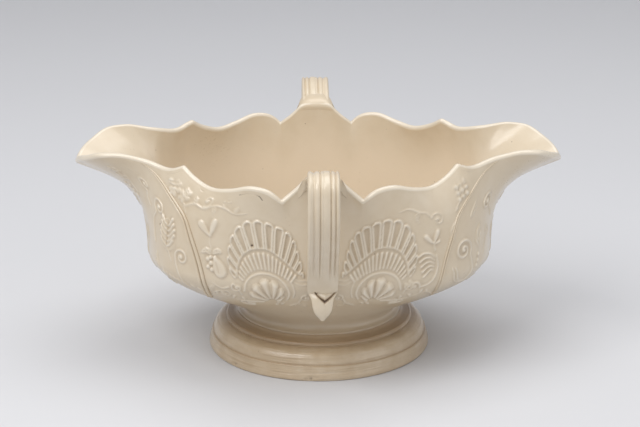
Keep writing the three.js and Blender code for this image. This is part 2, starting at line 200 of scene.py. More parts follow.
def piece_from(
    name: str, points: Array, faces: Sequence[Sequence[int]], values: dict[str, Array] | None = None
) -> Piece:
    """Makes a smooth-shaded mesh object with its place in its mesh.

    Args:
        name: Name of the piece.
        points: Points in millimetres.
        faces: Point numbers of each face.
        values: Named values to keep on the points.

    Returns:
        The new object, linked to the scene.
    """
    mesh = bpy.data.meshes.new(name)
    mesh.from_pydata((np.asarray(points) * MM).tolist(), [], [tuple(map(int, f)) for f in faces])
    mesh.shade_smooth()
    piece = bpy.data.objects.new(name, mesh)
    for key, amounts in (values or {}).items():
        keep_value(piece, key, amounts)
    mesh.validate()
    mesh.update()
    bpy.context.scene.collection.objects.link(piece)
    return piece


def keep_value(piece: Piece, name: str, amounts: Array) -> None:
    """Keeps a number, or a vector, on each of a piece's points under a name."""
    amounts = np.asarray(amounts, np.float32)
    kind, key = ("FLOAT", "value") if amounts.ndim < 2 else ("FLOAT_VECTOR", "vector")
    piece.data.attributes.new(name, kind, "POINT").data.foreach_set(key, amounts.ravel())


def drawn_lines(name: str, lines: Sequence[tuple[Array, bool]], values: dict[str, Array]) -> Piece:
    """Draws bare lines as the start of a piece that a tree then shapes.

    Args:
        name: Name of the piece.
        lines: Points of each line, in metres, and whether its last point meets its first.
        values: Named values to keep on the points, as numbers or vectors.

    Returns:
        The new object, linked to the scene.
    """
    edges = []
    first = 0
    for points, closed in lines:
        numbers = list(range(first, first + len(points)))
        edges += zip(numbers, numbers[1:] + numbers[:1] * closed)
        first += len(points)
    mesh = bpy.data.meshes.new(name)
    mesh.from_pydata(np.vstack([points for points, _ in lines]).tolist(), edges, [])
    piece = bpy.data.objects.new(name, mesh)
    for key, amounts in values.items():
        keep_value(piece, key, amounts)
    bpy.context.scene.collection.objects.link(piece)
    return piece


def point_values(piece: Piece, name: str) -> Array:
    """The places ("co") or directions ("normal") of a piece's points, in the mesh's own units."""
    found = np.empty(len(piece.data.vertices) * 3)
    piece.data.vertices.foreach_get(name, found)
    return found.reshape(-1, 3)


def capped_skin(rings: Sequence[Array]) -> tuple[Array, list[tuple[int, ...]]]:
    """A closed skin over a stack of rings, with a fan of faces over each end.

    Args:
        rings: Rings with equal counts, anticlockwise seen from the side that the stack rises to.

    Returns:
        The points and the faces.
    """
    count = len(rings[0])
    first = np.mean(rings[0], axis=0)
    last = np.mean(rings[-1], axis=0)
    points = np.vstack([first[None], *rings, last[None]])
    faces = [tuple(q) for q in quads_of_rings(len(rings), count, True, 1)]
    top = 1 + (len(rings) - 1) * count
    for k in range(count):
        after = (k + 1) % count
        faces.append((0, 1 + after, 1 + k))
        faces.append((top + k, top + after, len(points) - 1))
    return points, faces


def dress(piece: Piece, finish: Finish, nodes: Sequence[str] = ()) -> Piece:
    """Gives a piece its finish and its body, and lets it stand for CAD nodes.

    Args:
        piece: A finished piece.
        finish: Its material.
        nodes: CAD nodes that the piece stands for.

    Returns:
        The same piece.
    """
    piece.data.materials.clear()
    piece.data.materials.append(finish)
    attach(piece, BODY)
    if nodes:
        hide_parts(*nodes)
    log.info("%s: %d faces", piece.name, len(piece.data.polygons))
    return piece


@dataclass
class BowlShape:
    """The moulded bowl's outer wall: a squarish belly that flares to a waved rim with two lips.

    A place on the wall has an angle about +Z and a stage: 0 at the neck, 1 at the belly and 2 at
    the rim. Heights here are above the bowl's seat on the foot.
    """

    seat: float
    wall: float = 3.0
    rim_thickness: float = 2.5
    neck_radius: float = 34.6
    neck_pull_radius: float = 22.0
    neck_pull_height: float = 6.0
    belly_half_length: float = 70.7
    belly_half_width: float = 57.5
    belly_height: float = 31.1
    belly_tuck: float = 0.5
    belly_tuck_height: float = 16.8
    belly_squareness: float = 2.67
    flare_start: float = -0.01
    flare_start_rise: float = 0.6
    flare_end: float = 0.341
    flare_end_rise: float = 0.772
    lip_reach: float = 100.56
    lip_half_width: float = 24.0
    lip_length: float = 20.0
    lip_tip_height: float = 64.0
    lip_crest_height: float = 73.4
    lip_sag: float = 2.5
    shoulder_half_width: float = 35.4
    shoulder_height: float = 72.8
    shoulder_from_dip: float = 11.0
    dip_height: float = 66.8
    dip_inset: float = 13.8
    dip_from_bump: float = 15.0
    bump_height: float = 69.7
    bump_inset: float = 3.0
    bump_from_notch: float = 12.6
    notch_height: float = 64.6
    notch_from_seat: float = 9.2
    mouth_half_width: float = 59.4
    handle_seat_height: float = 74.2
    handle_seat_inset: float = 1.0
    handle_seat_half: float = 6.2
    crown_room: float = 1.6
    corner_softness: float = 0.5
    wall_softness: float = 5.0
    table_step: float = 0.1
    ring_samples: int = 4001
    profile_samples: int = 801
    stations_apart: int = 40
    table: dict[str, Array] = field(default_factory=dict)

    @property
    def seat_y(self) -> float:
        """Distance from the axis to the raised rim under a handle."""
        return self.mouth_half_width - self.handle_seat_inset

    def __post_init__(self) -> None:
        """Draws the rim once, sharp and softened, as functions of the angle."""
        quarter = self._quarter_rim()
        even = evenly(quarter, int(lengths_along(quarter)[-1] / self.table_step))
        self.table["angle"] = np.arctan2(even[:, 1], even[:, 0])
        radius = np.hypot(even[:, 0], even[:, 1])
        for key, softness in (("sharp", self.corner_softness), ("soft", self.wall_softness)):
            spread = softness / self.table_step
            self.table[f"{key}_radius"] = blurred(radius, spread)
            self.table[f"{key}_height"] = blurred(even[:, 2], spread)

    def _quarter_rim(self) -> Array:
        """A quarter of the rim, from the tip of the +X lip to the middle of the back handle."""

        def between(start: tuple, end: tuple, along: float, inward: float, up: float) -> tuple:
            """A station by its shares of the way between two named places."""
            return tuple(a + (b - a) * share for a, b, share in zip(start, end, (along, inward, up)))

        notch_x = self.handle_seat_half + self.notch_from_seat
        bump_x = notch_x + self.bump_from_notch
        dip_x = bump_x + self.dip_from_bump
        mouth = self.mouth_half_width
        tip = (self.lip_reach, 0.0, self.lip_tip_height)
        crest = (self.lip_reach - self.lip_length, self.lip_half_width, self.lip_crest_height)
        shoulder = (dip_x + self.shoulder_from_dip, self.shoulder_half_width, self.shoulder_height)
        dip = (dip_x, mouth - self.dip_inset, self.dip_height)
        bump = (bump_x, mouth - self.bump_inset, self.bump_height)
        notch = (notch_x, mouth, self.notch_height)
        seat_end = (self.handle_seat_half, self.seat_y, self.handle_seat_height)

        def sagging(along: float, inward: float, sag: float) -> tuple:
            """A station between the shoulder and the lip's crest, below the shoulder."""
            x, y, z = between(shoulder, crest, along, inward, 0)
            return (x, y, z - sag * self.lip_sag)

        after_tip = between(tip, crest, 0.07, 0.27, 0.26)
        lip = [
            tip,
            after_tip,
            between(tip, crest, 0.25, 0.6, 0.53),
            between(tip, crest, 0.575, 0.9, 0.89),
            crest,
            sagging(0.6, 0.86, 0.4),
            sagging(0.263, 0.42, 1),
            sagging(0.12, 0.13, 0.56),
            shoulder,
        ]
        side = [
            shoulder,
            between(dip, shoulder, 0.59, 0.56, 0.43),
            dip,
            between(dip, bump, 0.467, 0.556, 0.31),
            bump,
            between(bump, notch, 0.476, 0.733, 0.157),
            between(bump, notch, 0.794, 1.067, 0.608),
            notch,
        ]
        near_middle = between(notch, seat_end, 1, 1, 0.917)
        seat = [
            notch,
            between(notch, seat_end, 0.37, 0.8, 0.3125),
            between(notch, seat_end, 0.75, 1, 0.667),
            near_middle,
            (0.0, self.seat_y, self.handle_seat_height),
        ]
        steps = self.stations_apart
        runs = [
            smooth_run(lip, steps, before=[(after_tip[0], -after_tip[1], after_tip[2])])[:-1],
            smooth_run(side, steps)[:-1],
            smooth_run(seat, steps, after=[(-near_middle[0], near_middle[1], near_middle[2])]),
        ]
        return np.vstack(runs)

    def rim_at(self, angle: Array, key: str) -> tuple[Array, Array]:
        """The rim's radius and height at angles about +Z, "sharp" or "soft"."""
        folded = np.arctan2(np.abs(np.sin(angle)), np.abs(np.cos(angle)))
        place = self.table["angle"]
        radius = np.interp(folded, place, self.table[f"{key}_radius"])
        height = np.interp(folded, place, self.table[f"{key}_height"])
        return radius, height

    def belly_at(self, angle: Array) -> Array:
        """The belly's radius at angles about +Z."""
        length = np.abs(np.cos(angle)) / self.belly_half_length
        width = np.abs(np.sin(angle)) / self.belly_half_width
        power = self.belly_squareness
        return (length**power + width**power) ** (-1 / power)

    def profile(self, angle: Array, stage: Array) -> tuple[Array, Array]:
        """Radius and height above the table of places on the outer wall.

        Args:
            angle: Angles about +Z.
            stage: Stages, 0 at the neck, 1 at the belly and 2 at the rim.

        Returns:
            The radius and the height, with the shape that the two make together.
        """
        belly = self.belly_at(angle)
        low = np.clip(stage, 0, 1)
        high = np.clip(stage - 1, 0, 1)
        sharp_radius, sharp_height = self.rim_at(angle, "sharp")
        soft_radius, soft_height = self.rim_at(angle, "soft")
        sharpness = smoothstep((high - 0.35) / 0.65)
        flare = soft_radius + (sharp_radius - soft_radius) * sharpness - belly
        rise = soft_height + (sharp_height - soft_height) * sharpness - self.belly_height
        low_radius = bezier(self.neck_radius, self.neck_pull_radius, belly - self.belly_tuck, belly, low)
        low_height = bezier(0, self.neck_pull_height, self.belly_tuck_height, self.belly_height, low)
        high_radius = belly + flare * bezier(0, self.flare_start, self.flare_end, 1, high)
        climb = bezier(0, self.flare_start_rise, self.flare_end_rise, 1, high)
        high_height = self.belly_height + rise * climb
        below = stage <= 1
        radius = np.where(below, low_radius, high_radius)
        height = np.where(below, low_height, high_height)
        return radius, height + self.seat

    def at(self, angle: Array, stage: Array) -> Array:
        """Points on the outer wall at angles about +Z and stages, which may be arrays."""
        angle, stage = np.broadcast_arrays(angle, stage)
        radius, height = self.profile(angle, stage)
        return np.stack([radius * np.cos(angle), radius * np.sin(angle), height], -1)

    def rim_frame(self, angle: Array) -> tuple[Array, Array, Array]:
        """The wall's top edge at angles about +Z, the way up the wall there, and the wall's speed."""
        edge = self.at(angle, np.array(2.0))
        climb = edge - self.at(angle, np.array(1.99))
        length = np.linalg.norm(climb, axis=-1, keepdims=True)
        return edge, climb / length, length[..., 0] / 0.01

    def on_level(self, angle: Array, level: Array) -> Array:
        """Points on the wall at levels, which are stages that end just under the rounded rim."""
        angle, level = np.broadcast_arrays(angle, level)
        top = 2 - self.crown_room / self.rim_frame(angle)[2]
        return self.at(angle, np.where(level <= 1, level, 1 + (level - 1) * (top - 1)))

    def columns(self, count: int) -> Array:
        """Angles about +Z of evenly spaced columns, by their distance along the rim and belly."""
        angle = np.linspace(0, 2 * math.pi, self.ring_samples)
        ring = (self.at(angle, np.array(2.0)) + self.at(angle, np.array(1.0))) / 2
        place = lengths_along(ring)
        wanted = np.linspace(0, place[-1], count, endpoint=False)
        return np.interp(wanted, place, angle)

    def wall_under_handle(self, height: float) -> float:
        """Distance from the axis to the outer wall under a handle, at a height above the table."""
        stage = np.linspace(0, 2, self.profile_samples)
        radius, rising = self.profile(np.full_like(stage, math.pi / 2), stage)
        return float(np.interp(height, rising, radius))

    def off_wall(self, height: float, out: float, up: float = 0.0) -> tuple[float, float]:
        """The place a distance out from the wall under a handle, square to it, and a distance up it."""
        reach = self.wall / 6
        above = self.wall_under_handle(height + reach)
        below = self.wall_under_handle(height - reach)
        lean = (above - below) / (2 * reach)
        length = math.hypot(1, lean)
        distance = self.wall_under_handle(height) + (out + lean * up) / length
        return distance, height + (up - lean * out) / length


class Wire:
    """A value on its way through a node tree; arithmetic on it adds Math nodes."""

    def __init__(self, builder: "NodeWriter", socket: bpy.types.NodeSocket) -> None:
        """Wraps an output socket of one of the writer's nodes."""
        self.builder = builder
        self.socket = socket

    def _math(self, operation: str, *values: Any) -> "Wire":
        """Adds one Math node."""
        return self.builder.node("ShaderNodeMath", {"operation": operation}, dict(enumerate(values)))

    def __add__(self, other: Any) -> "Wire":
        """Sum."""
        return self._math("ADD", self, other)

    def __radd__(self, other: Any) -> "Wire":
        """Sum with a number on the left."""
        return self._math("ADD", other, self)

    def __sub__(self, other: Any) -> "Wire":
        """Difference."""
        return self._math("SUBTRACT", self, other)

    def __rsub__(self, other: Any) -> "Wire":
        """Difference from a number on the left."""
        return self._math("SUBTRACT", other, self)

    def __mul__(self, other: Any) -> "Wire":
        """Product."""
        return self._math("MULTIPLY", self, other)

    def __rmul__(self, other: Any) -> "Wire":
        """Product with a number on the left."""
        return self._math("MULTIPLY", other, self)

    def held(self) -> "Wire":
        """The value held between 0 and 1."""
        return self.builder.node("ShaderNodeClamp", {}, {"Value": self})

    def largest(self, other: Any) -> "Wire":
        """The larger of two values."""
        return self._math("MAXIMUM", self, other)

    def eased(self, low: float, high: float) -> "Wire":
        """0 below one value, 1 above another, eased between them."""
        settings = {"interpolation_type": "SMOOTHSTEP"}
        inputs = {"Value": self, "From Min": low, "From Max": high}
        return self.builder.node("ShaderNodeMapRange", settings, inputs)


class NodeWriter:
    """Writes the nodes of one tree. Every node comes from one method."""

    tree: bpy.types.NodeTree

    def node(self, kind: str, settings: dict[str, Any], inputs: dict[Any, Any], output: Any = 0) -> Wire:
        """Adds a node.

        Args:
            kind: The node's type.
            settings: Its settings, set before its sockets.
            inputs: Values or wires by socket name or number.
            output: Name or number of the socket to return.

        Returns:
            The chosen output.
        """
        made = self.tree.nodes.new(kind)
        for key, value in settings.items():
            setattr(made, key, value)
        for key, value in inputs.items():
            if isinstance(value, Wire):
                self.tree.links.new(value.socket, made.inputs[key])
            else:
                made.inputs[key].default_value = value
        return Wire(self, made.outputs[output])


class Forming(NodeWriter):
    """Writes one geometry tree with named inputs, and runs it on a piece."""

    def __init__(self, name: str, inputs: dict[str, str]) -> None:
        """Starts a tree.

        Args:
            name: Name of the tree.
            inputs: Socket type of each named input, beside the geometry and the material.
        """
        self.tree = bpy.data.node_groups.new(name, "GeometryNodeTree")
        self.identifiers = {}
        wanted = {"Geometry": "NodeSocketGeometry", **inputs, "Material": "NodeSocketMaterial"}
        for key, kind in wanted.items():
            socket = self.tree.interface.new_socket(key, in_out="INPUT", socket_type=kind)
            self.identifiers[key] = socket.identifier
        self.tree.interface.new_socket("Geometry", in_out="OUTPUT", socket_type="NodeSocketGeometry")
        self.entry = self.tree.nodes.new("NodeGroupInput")

    def given(self, name: str) -> Wire:
        """A named input."""
        return Wire(self, self.entry.outputs[name])

    def vector(self, operation: str, *values: Any) -> Wire:
        """Adds one Vector Math node."""
        return self.node("ShaderNodeVectorMath", {"operation": operation}, dict(enumerate(values)))

    def scaled(self, vector: Wire, amount: Any) -> Wire:
        """A vector times a number."""
        inputs = {"Vector": vector, "Scale": amount}
        return self.node("ShaderNodeVectorMath", {"operation": "SCALE"}, inputs)

    def named(self, name: str, kind: str = "FLOAT") -> Wire:
        """A value kept on the geometry under a name."""
        return self.node("GeometryNodeInputNamedAttribute", {"data_type": kind}, {"Name": name})

    def part(self, vector: Wire, axis: str) -> Wire:
        """One axis of a vector."""
        return self.node("ShaderNodeSeparateXYZ", {}, {0: vector}, axis)

    def path_and_section(self) -> tuple[Wire, Wire]:
        """The curve along the starting points marked as the path, and the other points' lines."""
        kind = "GeometryNodeSeparateGeometry"
        chosen = {"Geometry": self.given("Geometry"), "Selection": self.named("is_path")}
        path = self.node(kind, {"domain": "POINT"}, chosen, "Selection")
        section = self.node(kind, {"domain": "POINT"}, chosen, "Inverted")
        return self.node("GeometryNodeMeshToCurve", {}, {"Mesh": path}), section

    def give(self, geometry: Wire) -> None:
        """Ends the tree: real geometry in the given material."""
        real = self.node("GeometryNodeRealizeInstances", {}, {"Geometry": geometry})
        inputs = {"Geometry": real, "Material": self.given("Material")}
        dressed = self.node("GeometryNodeSetMaterial", {}, inputs)
        output = self.tree.nodes.new("NodeGroupOutput")
        self.tree.links.new(dressed.socket, output.inputs["Geometry"])

    def run(self, piece: Piece, values: dict[str, Any]) -> Piece:
        """Runs the tree on a piece and keeps the result as its plain mesh.

        Args:
            piece: The piece, whose mesh is the tree's starting geometry.
            values: The named inputs' values.

        Returns:
            The same piece.
        """
        modifier = piece.modifiers.new(self.tree.name, "NODES")
        modifier.node_group = self.tree
        for key, value in values.items():
            modifier[self.identifiers[key]] = value
        graph = bpy.context.evaluated_depsgraph_get()
        shaped = piece.evaluated_get(graph)
        mesh = bpy.data.meshes.new_from_object(shaped, preserve_all_data_layers=True, depsgraph=graph)
        start = piece.data
        piece.modifiers.clear()
        piece.data = mesh
        mesh.name = piece.name
        bpy.data.meshes.remove(start)
        mesh.shade_smooth()
        return piece


class Glazing(NodeWriter):
    """Writes one material's nodes."""

    def __init__(self, name: str) -> None:
        """Starts an empty material."""
        self.material = bpy.data.materials.new(name)
        self.material.use_nodes = True
        self.tree = self.material.node_tree
        self.tree.nodes.clear()

    def place(self) -> Wire:
        """Object coordinates, in metres."""
        return self.node("ShaderNodeTexCoord", {}, {}, "Object")

    def noise(self, size: float, detail: float = 2.0, seed: float = 0.0, stretch: tuple = (1, 1, 1)) -> Wire:
        """Cloudy noise between 0 and 1.

        Args:
            size: Size of its features, in millimetres.
            detail: Octaves of finer noise.
            seed: Shift that makes the noise differ from its fellows.
            stretch: How many times longer the features are along each axis.

        Returns:
            The noise value.
        """
        scaling = {"Scale": tuple(1 / s for s in stretch), "Location": (seed, seed * 0.7, seed * 1.3)}
        moved = self.node("ShaderNodeMapping", {}, {"Vector": self.place(), **scaling})
        inputs = {"Vector": moved, "Scale": 1 / (size * MM), "Detail": detail, "Roughness": 0.55}
        return self.node("ShaderNodeTexNoise", {}, inputs, 0)

    def spots(self, spacing: float, radius: float, seed: float = 0.0) -> Wire:
        """Scattered round spots: 1 in a spot's middle and 0 outside it.

        Args:
            spacing: Distance between spots, in millimetres.
            radius: Radius of the largest spot, in millimetres.
            seed: Shift that makes the spots differ from their fellows.

        Returns:
            The spots' value.
        """
        moved = self.node("ShaderNodeMapping", {}, {"Vector": self.place(), "Location": (seed, 0, seed)})
        inputs = {"Vector": moved, "Scale": 1 / (spacing * MM)}
        distance = self.node("ShaderNodeTexVoronoi", {"feature": "F1"}, inputs, "Distance")
        return 1 - distance.eased(radius / spacing * 0.45, radius / spacing)

    def mixed(self, share: Any, first: Any, second: Any) -> Wire:
        """A colour between two colours."""
        settings = {"data_type": "RGBA", "blend_type": "MIX"}
        return self.node("ShaderNodeMix", settings, {0: share, 6: first, 7: second}, 2)

    def kept(self, name: str) -> Wire:
        """A value kept on the mesh's points."""
        return self.node("ShaderNodeAttribute", {"attribute_name": name}, {}, "Fac")

    def finished(self, shader: Wire) -> Finish:
        """Puts a shader on the material's output and returns the material."""
        output = self.tree.nodes.new("ShaderNodeOutputMaterial")
        self.tree.links.new(shader.socket, output.inputs["Surface"])
        return self.material


def linear(red: int, green: int, blue: int) -> tuple[float, float, float, float]:
    """A display colour of 0..255 as a linear colour."""
    shares = [value / 255 for value in (red, green, blue)]
    low = [s / 12.92 if s <= 0.04045 else ((s + 0.055) / 1.055) ** 2.4 for s in shares]
    return (low[0], low[1], low[2], 1.0)


@dataclass(frozen=True)
class SaltGlaze:
    """Pale stoneware under a thin salt glaze: cream, tan streaks on turned parts, faintly pitted, with
    painted shade in its hollows and creases, painted highlight on its crests and painted light deeper inside
    the bowl.
    """

    name: str
    body: Colour = (209, 194, 170)
    warm: Colour = (198, 179, 150)
    pool: Colour = (148, 121, 88)
    crest: Colour = (229, 220, 204)
    inner: Colour = (224, 209, 187)
    stain_and_crease_shade: Colour = (58, 30, 16)
    iron: Colour = (92, 66, 44)
    warmth: float = 0.5
    roughness: float = 0.3
    orange_peel: float = 0.012
    turning: float = 0.0
    specks: float = 0.55

    def material(self) -> Finish:
        """Builds the glaze's nodes and returns the material."""
        g = Glazing(self.name)
        cloud = g.noise(34, 3, seed=0.31)
        mottle = g.noise(5.5, 4, seed=0.77)
        fine = g.noise(1.1, 3, seed=0.12)
        warmth = (cloud * 0.65 + mottle * 0.45).eased(0.42, 0.72) * self.warmth
        colour = g.mixed(warmth, linear(*self.body), linear(*self.warm))
        # Painted light: a paler colour deeper inside the bowl.
        colour = g.mixed(g.kept("inside").held() * 0.85, colour, linear(*self.inner))
        # Painted shade: tan in the hollows of the relief, the ribs' grooves, the foot, the seam and the
        # handle's crease.
        crevice_shade = g.kept("crevice_shade")
        colour = g.mixed(crevice_shade.held() * 0.8, colour, linear(*self.pool))
        # Painted highlight: a paler colour on the relief's crests, the rim's crown and inside the lips.
        colour = g.mixed(g.kept("crest").held() * 0.6, colour, linear(*self.crest))
        speck = g.spots(7.5, 0.34, 0.05) * g.noise(16, 1, seed=0.4).eased(0.5, 0.6)
        dust = g.spots(2.6, 0.15, 0.21) * g.noise(9, 1, seed=0.9).eased(0.46, 0.62) * 0.55
        iron = speck.largest(dust) * self.specks
        colour = g.mixed(iron, colour, linear(*self.iron))
        peel = g.noise(0.8, 2, seed=0.6) * 0.6 + g.noise(2.4, 2, seed=0.25) * 1.4
        height = peel * self.orange_peel - speck * 0.06
        if self.turning:
            rings = g.noise(1.3, 3, seed=0.5, stretch=(26, 26, 1))
            height = height + rings * self.turning * 1.5
            streak = rings.eased(0.54, 0.7) * cloud.eased(0.42, 0.62) * 0.36
            colour = g.mixed(streak, colour, linear(*self.pool))
            bare = (1 - rings).eased(0.54, 0.7) * (1 - cloud).eased(0.42, 0.6) * 0.4
            colour = g.mixed(bare, colour, linear(*self.crest))
        # Dark brown: real stains of the pinholes, the crack and the foot's chips, and painted shade in the
        # handle's crease.
        colour = g.mixed(g.kept("stain_and_crease_shade").eased(0.3, 0.9) * 0.9, colour, linear(*self.stain_and_crease_shade))
        bumped = {"Strength": 1.0, "Distance": MM, "Height": height}
        bump = g.node("ShaderNodeBump", {}, bumped, "Normal")
        roughness = fine * 0.1 + crevice_shade * 0.12 + cloud * 0.08 + (self.roughness - 0.09)
        surface = {"Base Color": colour, "Roughness": roughness, "Normal": bump}
        coat = {"IOR": 1.5, "Coat Weight": 0.5, "Coat Roughness": 0.14}
        return g.finished(g.node("ShaderNodeBsdfPrincipled", {}, {**surface, **coat}))


@dataclass
class Bowl:
    """The moulded bowl: outer wall, rounded rim, inner wall and floor in one closed skin."""

    shape: BowlShape
    column_count: int = 700
    base_rings: int = 4
    lower_rings: int = 30
    upper_rings: int = 46
    crown_rings: int = 11
    inner_step: int = 2
    sink: float = 0.6
    sink_low: float = -16.0
    sink_ramp: float = 1.2
    dish_share: float = 0.42
    dish_power: float = 3.6
    shaded_rings: int = 14
    lip_tone_start: float = 62.0
    tone_reach: float = 26.0

    def build(self, finish: Finish) -> Piece:
        """Builds and dresses the bowl.

        Args:
            finish: The bowl's glaze.

        Returns:
            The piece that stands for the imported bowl.
        """
        shape = self.shape
        angle = shape.columns(self.column_count)
        base = [
            self._disc(angle, shape.neck_radius * k / (self.base_rings + 1))
            for k in range(1, self.base_rings + 1)
        ]
        low = np.linspace(0, 1, self.lower_rings, endpoint=False)
        high = np.linspace(1, 2, self.upper_rings)
        wall = shape.on_level(angle[None, :], np.concatenate([low, high])[:, None])
        outer = np.concatenate([np.stack(base), wall])
        normals = grid_normals(outer, True)
        edge, upward, _ = shape.rim_frame(angle)
        outward = np.cross(np.roll(edge, -1, axis=0) - np.roll(edge, 1, axis=0), upward)
        outward /= np.linalg.norm(outward, axis=1, keepdims=True)
        half = shape.rim_thickness / 2
        crown = []
        for turn in np.linspace(0, math.pi, self.crown_rings):
            crown.append(edge + half * ((math.sin(turn) - 1) * upward + (math.cos(turn) - 1) * outward))
        depth = self._wall_depth(len(outer), len(base) + len(low))
        inner = outer - normals * depth[:, None, None]
        self._dish(inner, len(base) + int(self.dish_share * self.lower_rings))
        inner = inner[::-1][:: self.inner_step]
        outer = outer - normals * self._room_for_relief(outer, len(base) + len(low))[..., None]
        rings = [*outer, *crown, *inner]
        points, faces = capped_skin(rings)
        points[-1, 2] = shape.seat + shape.wall
        piece = piece_from("bowl", points, faces, self._tones(angle, len(outer), len(crown), inner))
        return dress(piece, finish, ["bowl"])

    def _tones(self, angle: Array, outer: int, crown: int, inner: Array) -> dict[str, Array]:
        """How far each point lies inside the bowl, which paints light there, with painted shade low on the
        outer wall and painted highlight on the rim's crown and inside the lips.
        """
        _, rim_height = self.shape.rim_at(angle, "sharp")
        below = self.shape.seat + rim_height[None, :] - inner[..., 2]
        far_along = smoothstep((np.abs(inner[..., 0]) - self.lip_tone_start) / self.tone_reach)
        # Painted light: grows deeper inside the bowl and fades towards the lips.
        inside = smoothstep(below / self.tone_reach) * (1 - far_along)
        hollow = np.zeros((outer + crown + len(inner), len(angle)))
        # Painted shade on the lower wall, darkest by the neck and fading upward.
        shaded = slice(self.base_rings, self.base_rings + self.shaded_rings)
        hollow[shaded] = np.linspace(0.6, 0.0, self.shaded_rings)[:, None]
        # Painted highlight on the rim's crown and inside the lips.
        crest = np.zeros_like(hollow)
        crest[outer : outer + crown] = 0.8
        crest[outer + crown :] = 0.12 * far_along * smoothstep(1.2 - below / 40)
        depth = np.zeros_like(hollow)
        depth[outer + crown :] = inside
        ends = np.zeros(1)
        return {
            "inside": np.concatenate([ends, depth.ravel(), ends + 1]),
            "crevice_shade": np.concatenate([ends, hollow.ravel(), ends]),
            "crest": np.concatenate([ends, crest.ravel(), ends]),
        }

    def _room_for_relief(self, outer: Array, belly_ring: int) -> Array:
        """How far the wall is sunk under the relief, so that the relief's hollows show."""
        climb = np.linalg.norm(np.diff(outer, axis=0), axis=-1)
        up = np.concatenate([np.zeros((1, outer.shape[1])), np.cumsum(climb, axis=0)])
        up -= up[belly_ring]
        low = smoothstep((up - self.sink_low) / 2.0)
        high = smoothstep((up[-1] - up) / self.sink_ramp - 1)
        return self.sink * low * high

    def _dish(self, inner: Array, first: int) -> None:
        """Rounds the inner floor into a shallow dish inside one of the inner rings."""
        centre = np.array([0.0, 0.0, self.shape.seat + self.shape.wall])
        edge = inner[first] - centre
        for k in range(first):
            share = (k + 1) / (first + 1)
            inner[k] = centre + edge * [share, share, share**self.dish_power]

    def _disc(self, angle: Array, radius: float) -> Array:
        """A flat ring of the underside."""
        height = np.full_like(angle, self.shape.seat)
        return np.stack([radius * np.cos(angle), radius * np.sin(angle), height], -1)

    def _wall_depth(self, rings: int, belly_ring: int) -> Array:
        """The wall's thickness at each ring: thinner towards the rim."""
        share = np.clip((np.arange(rings) - belly_ring) / (rings - 1 - belly_ring), 0, 1)
        return self.shape.wall + (self.shape.rim_thickness - self.shape.wall) * share


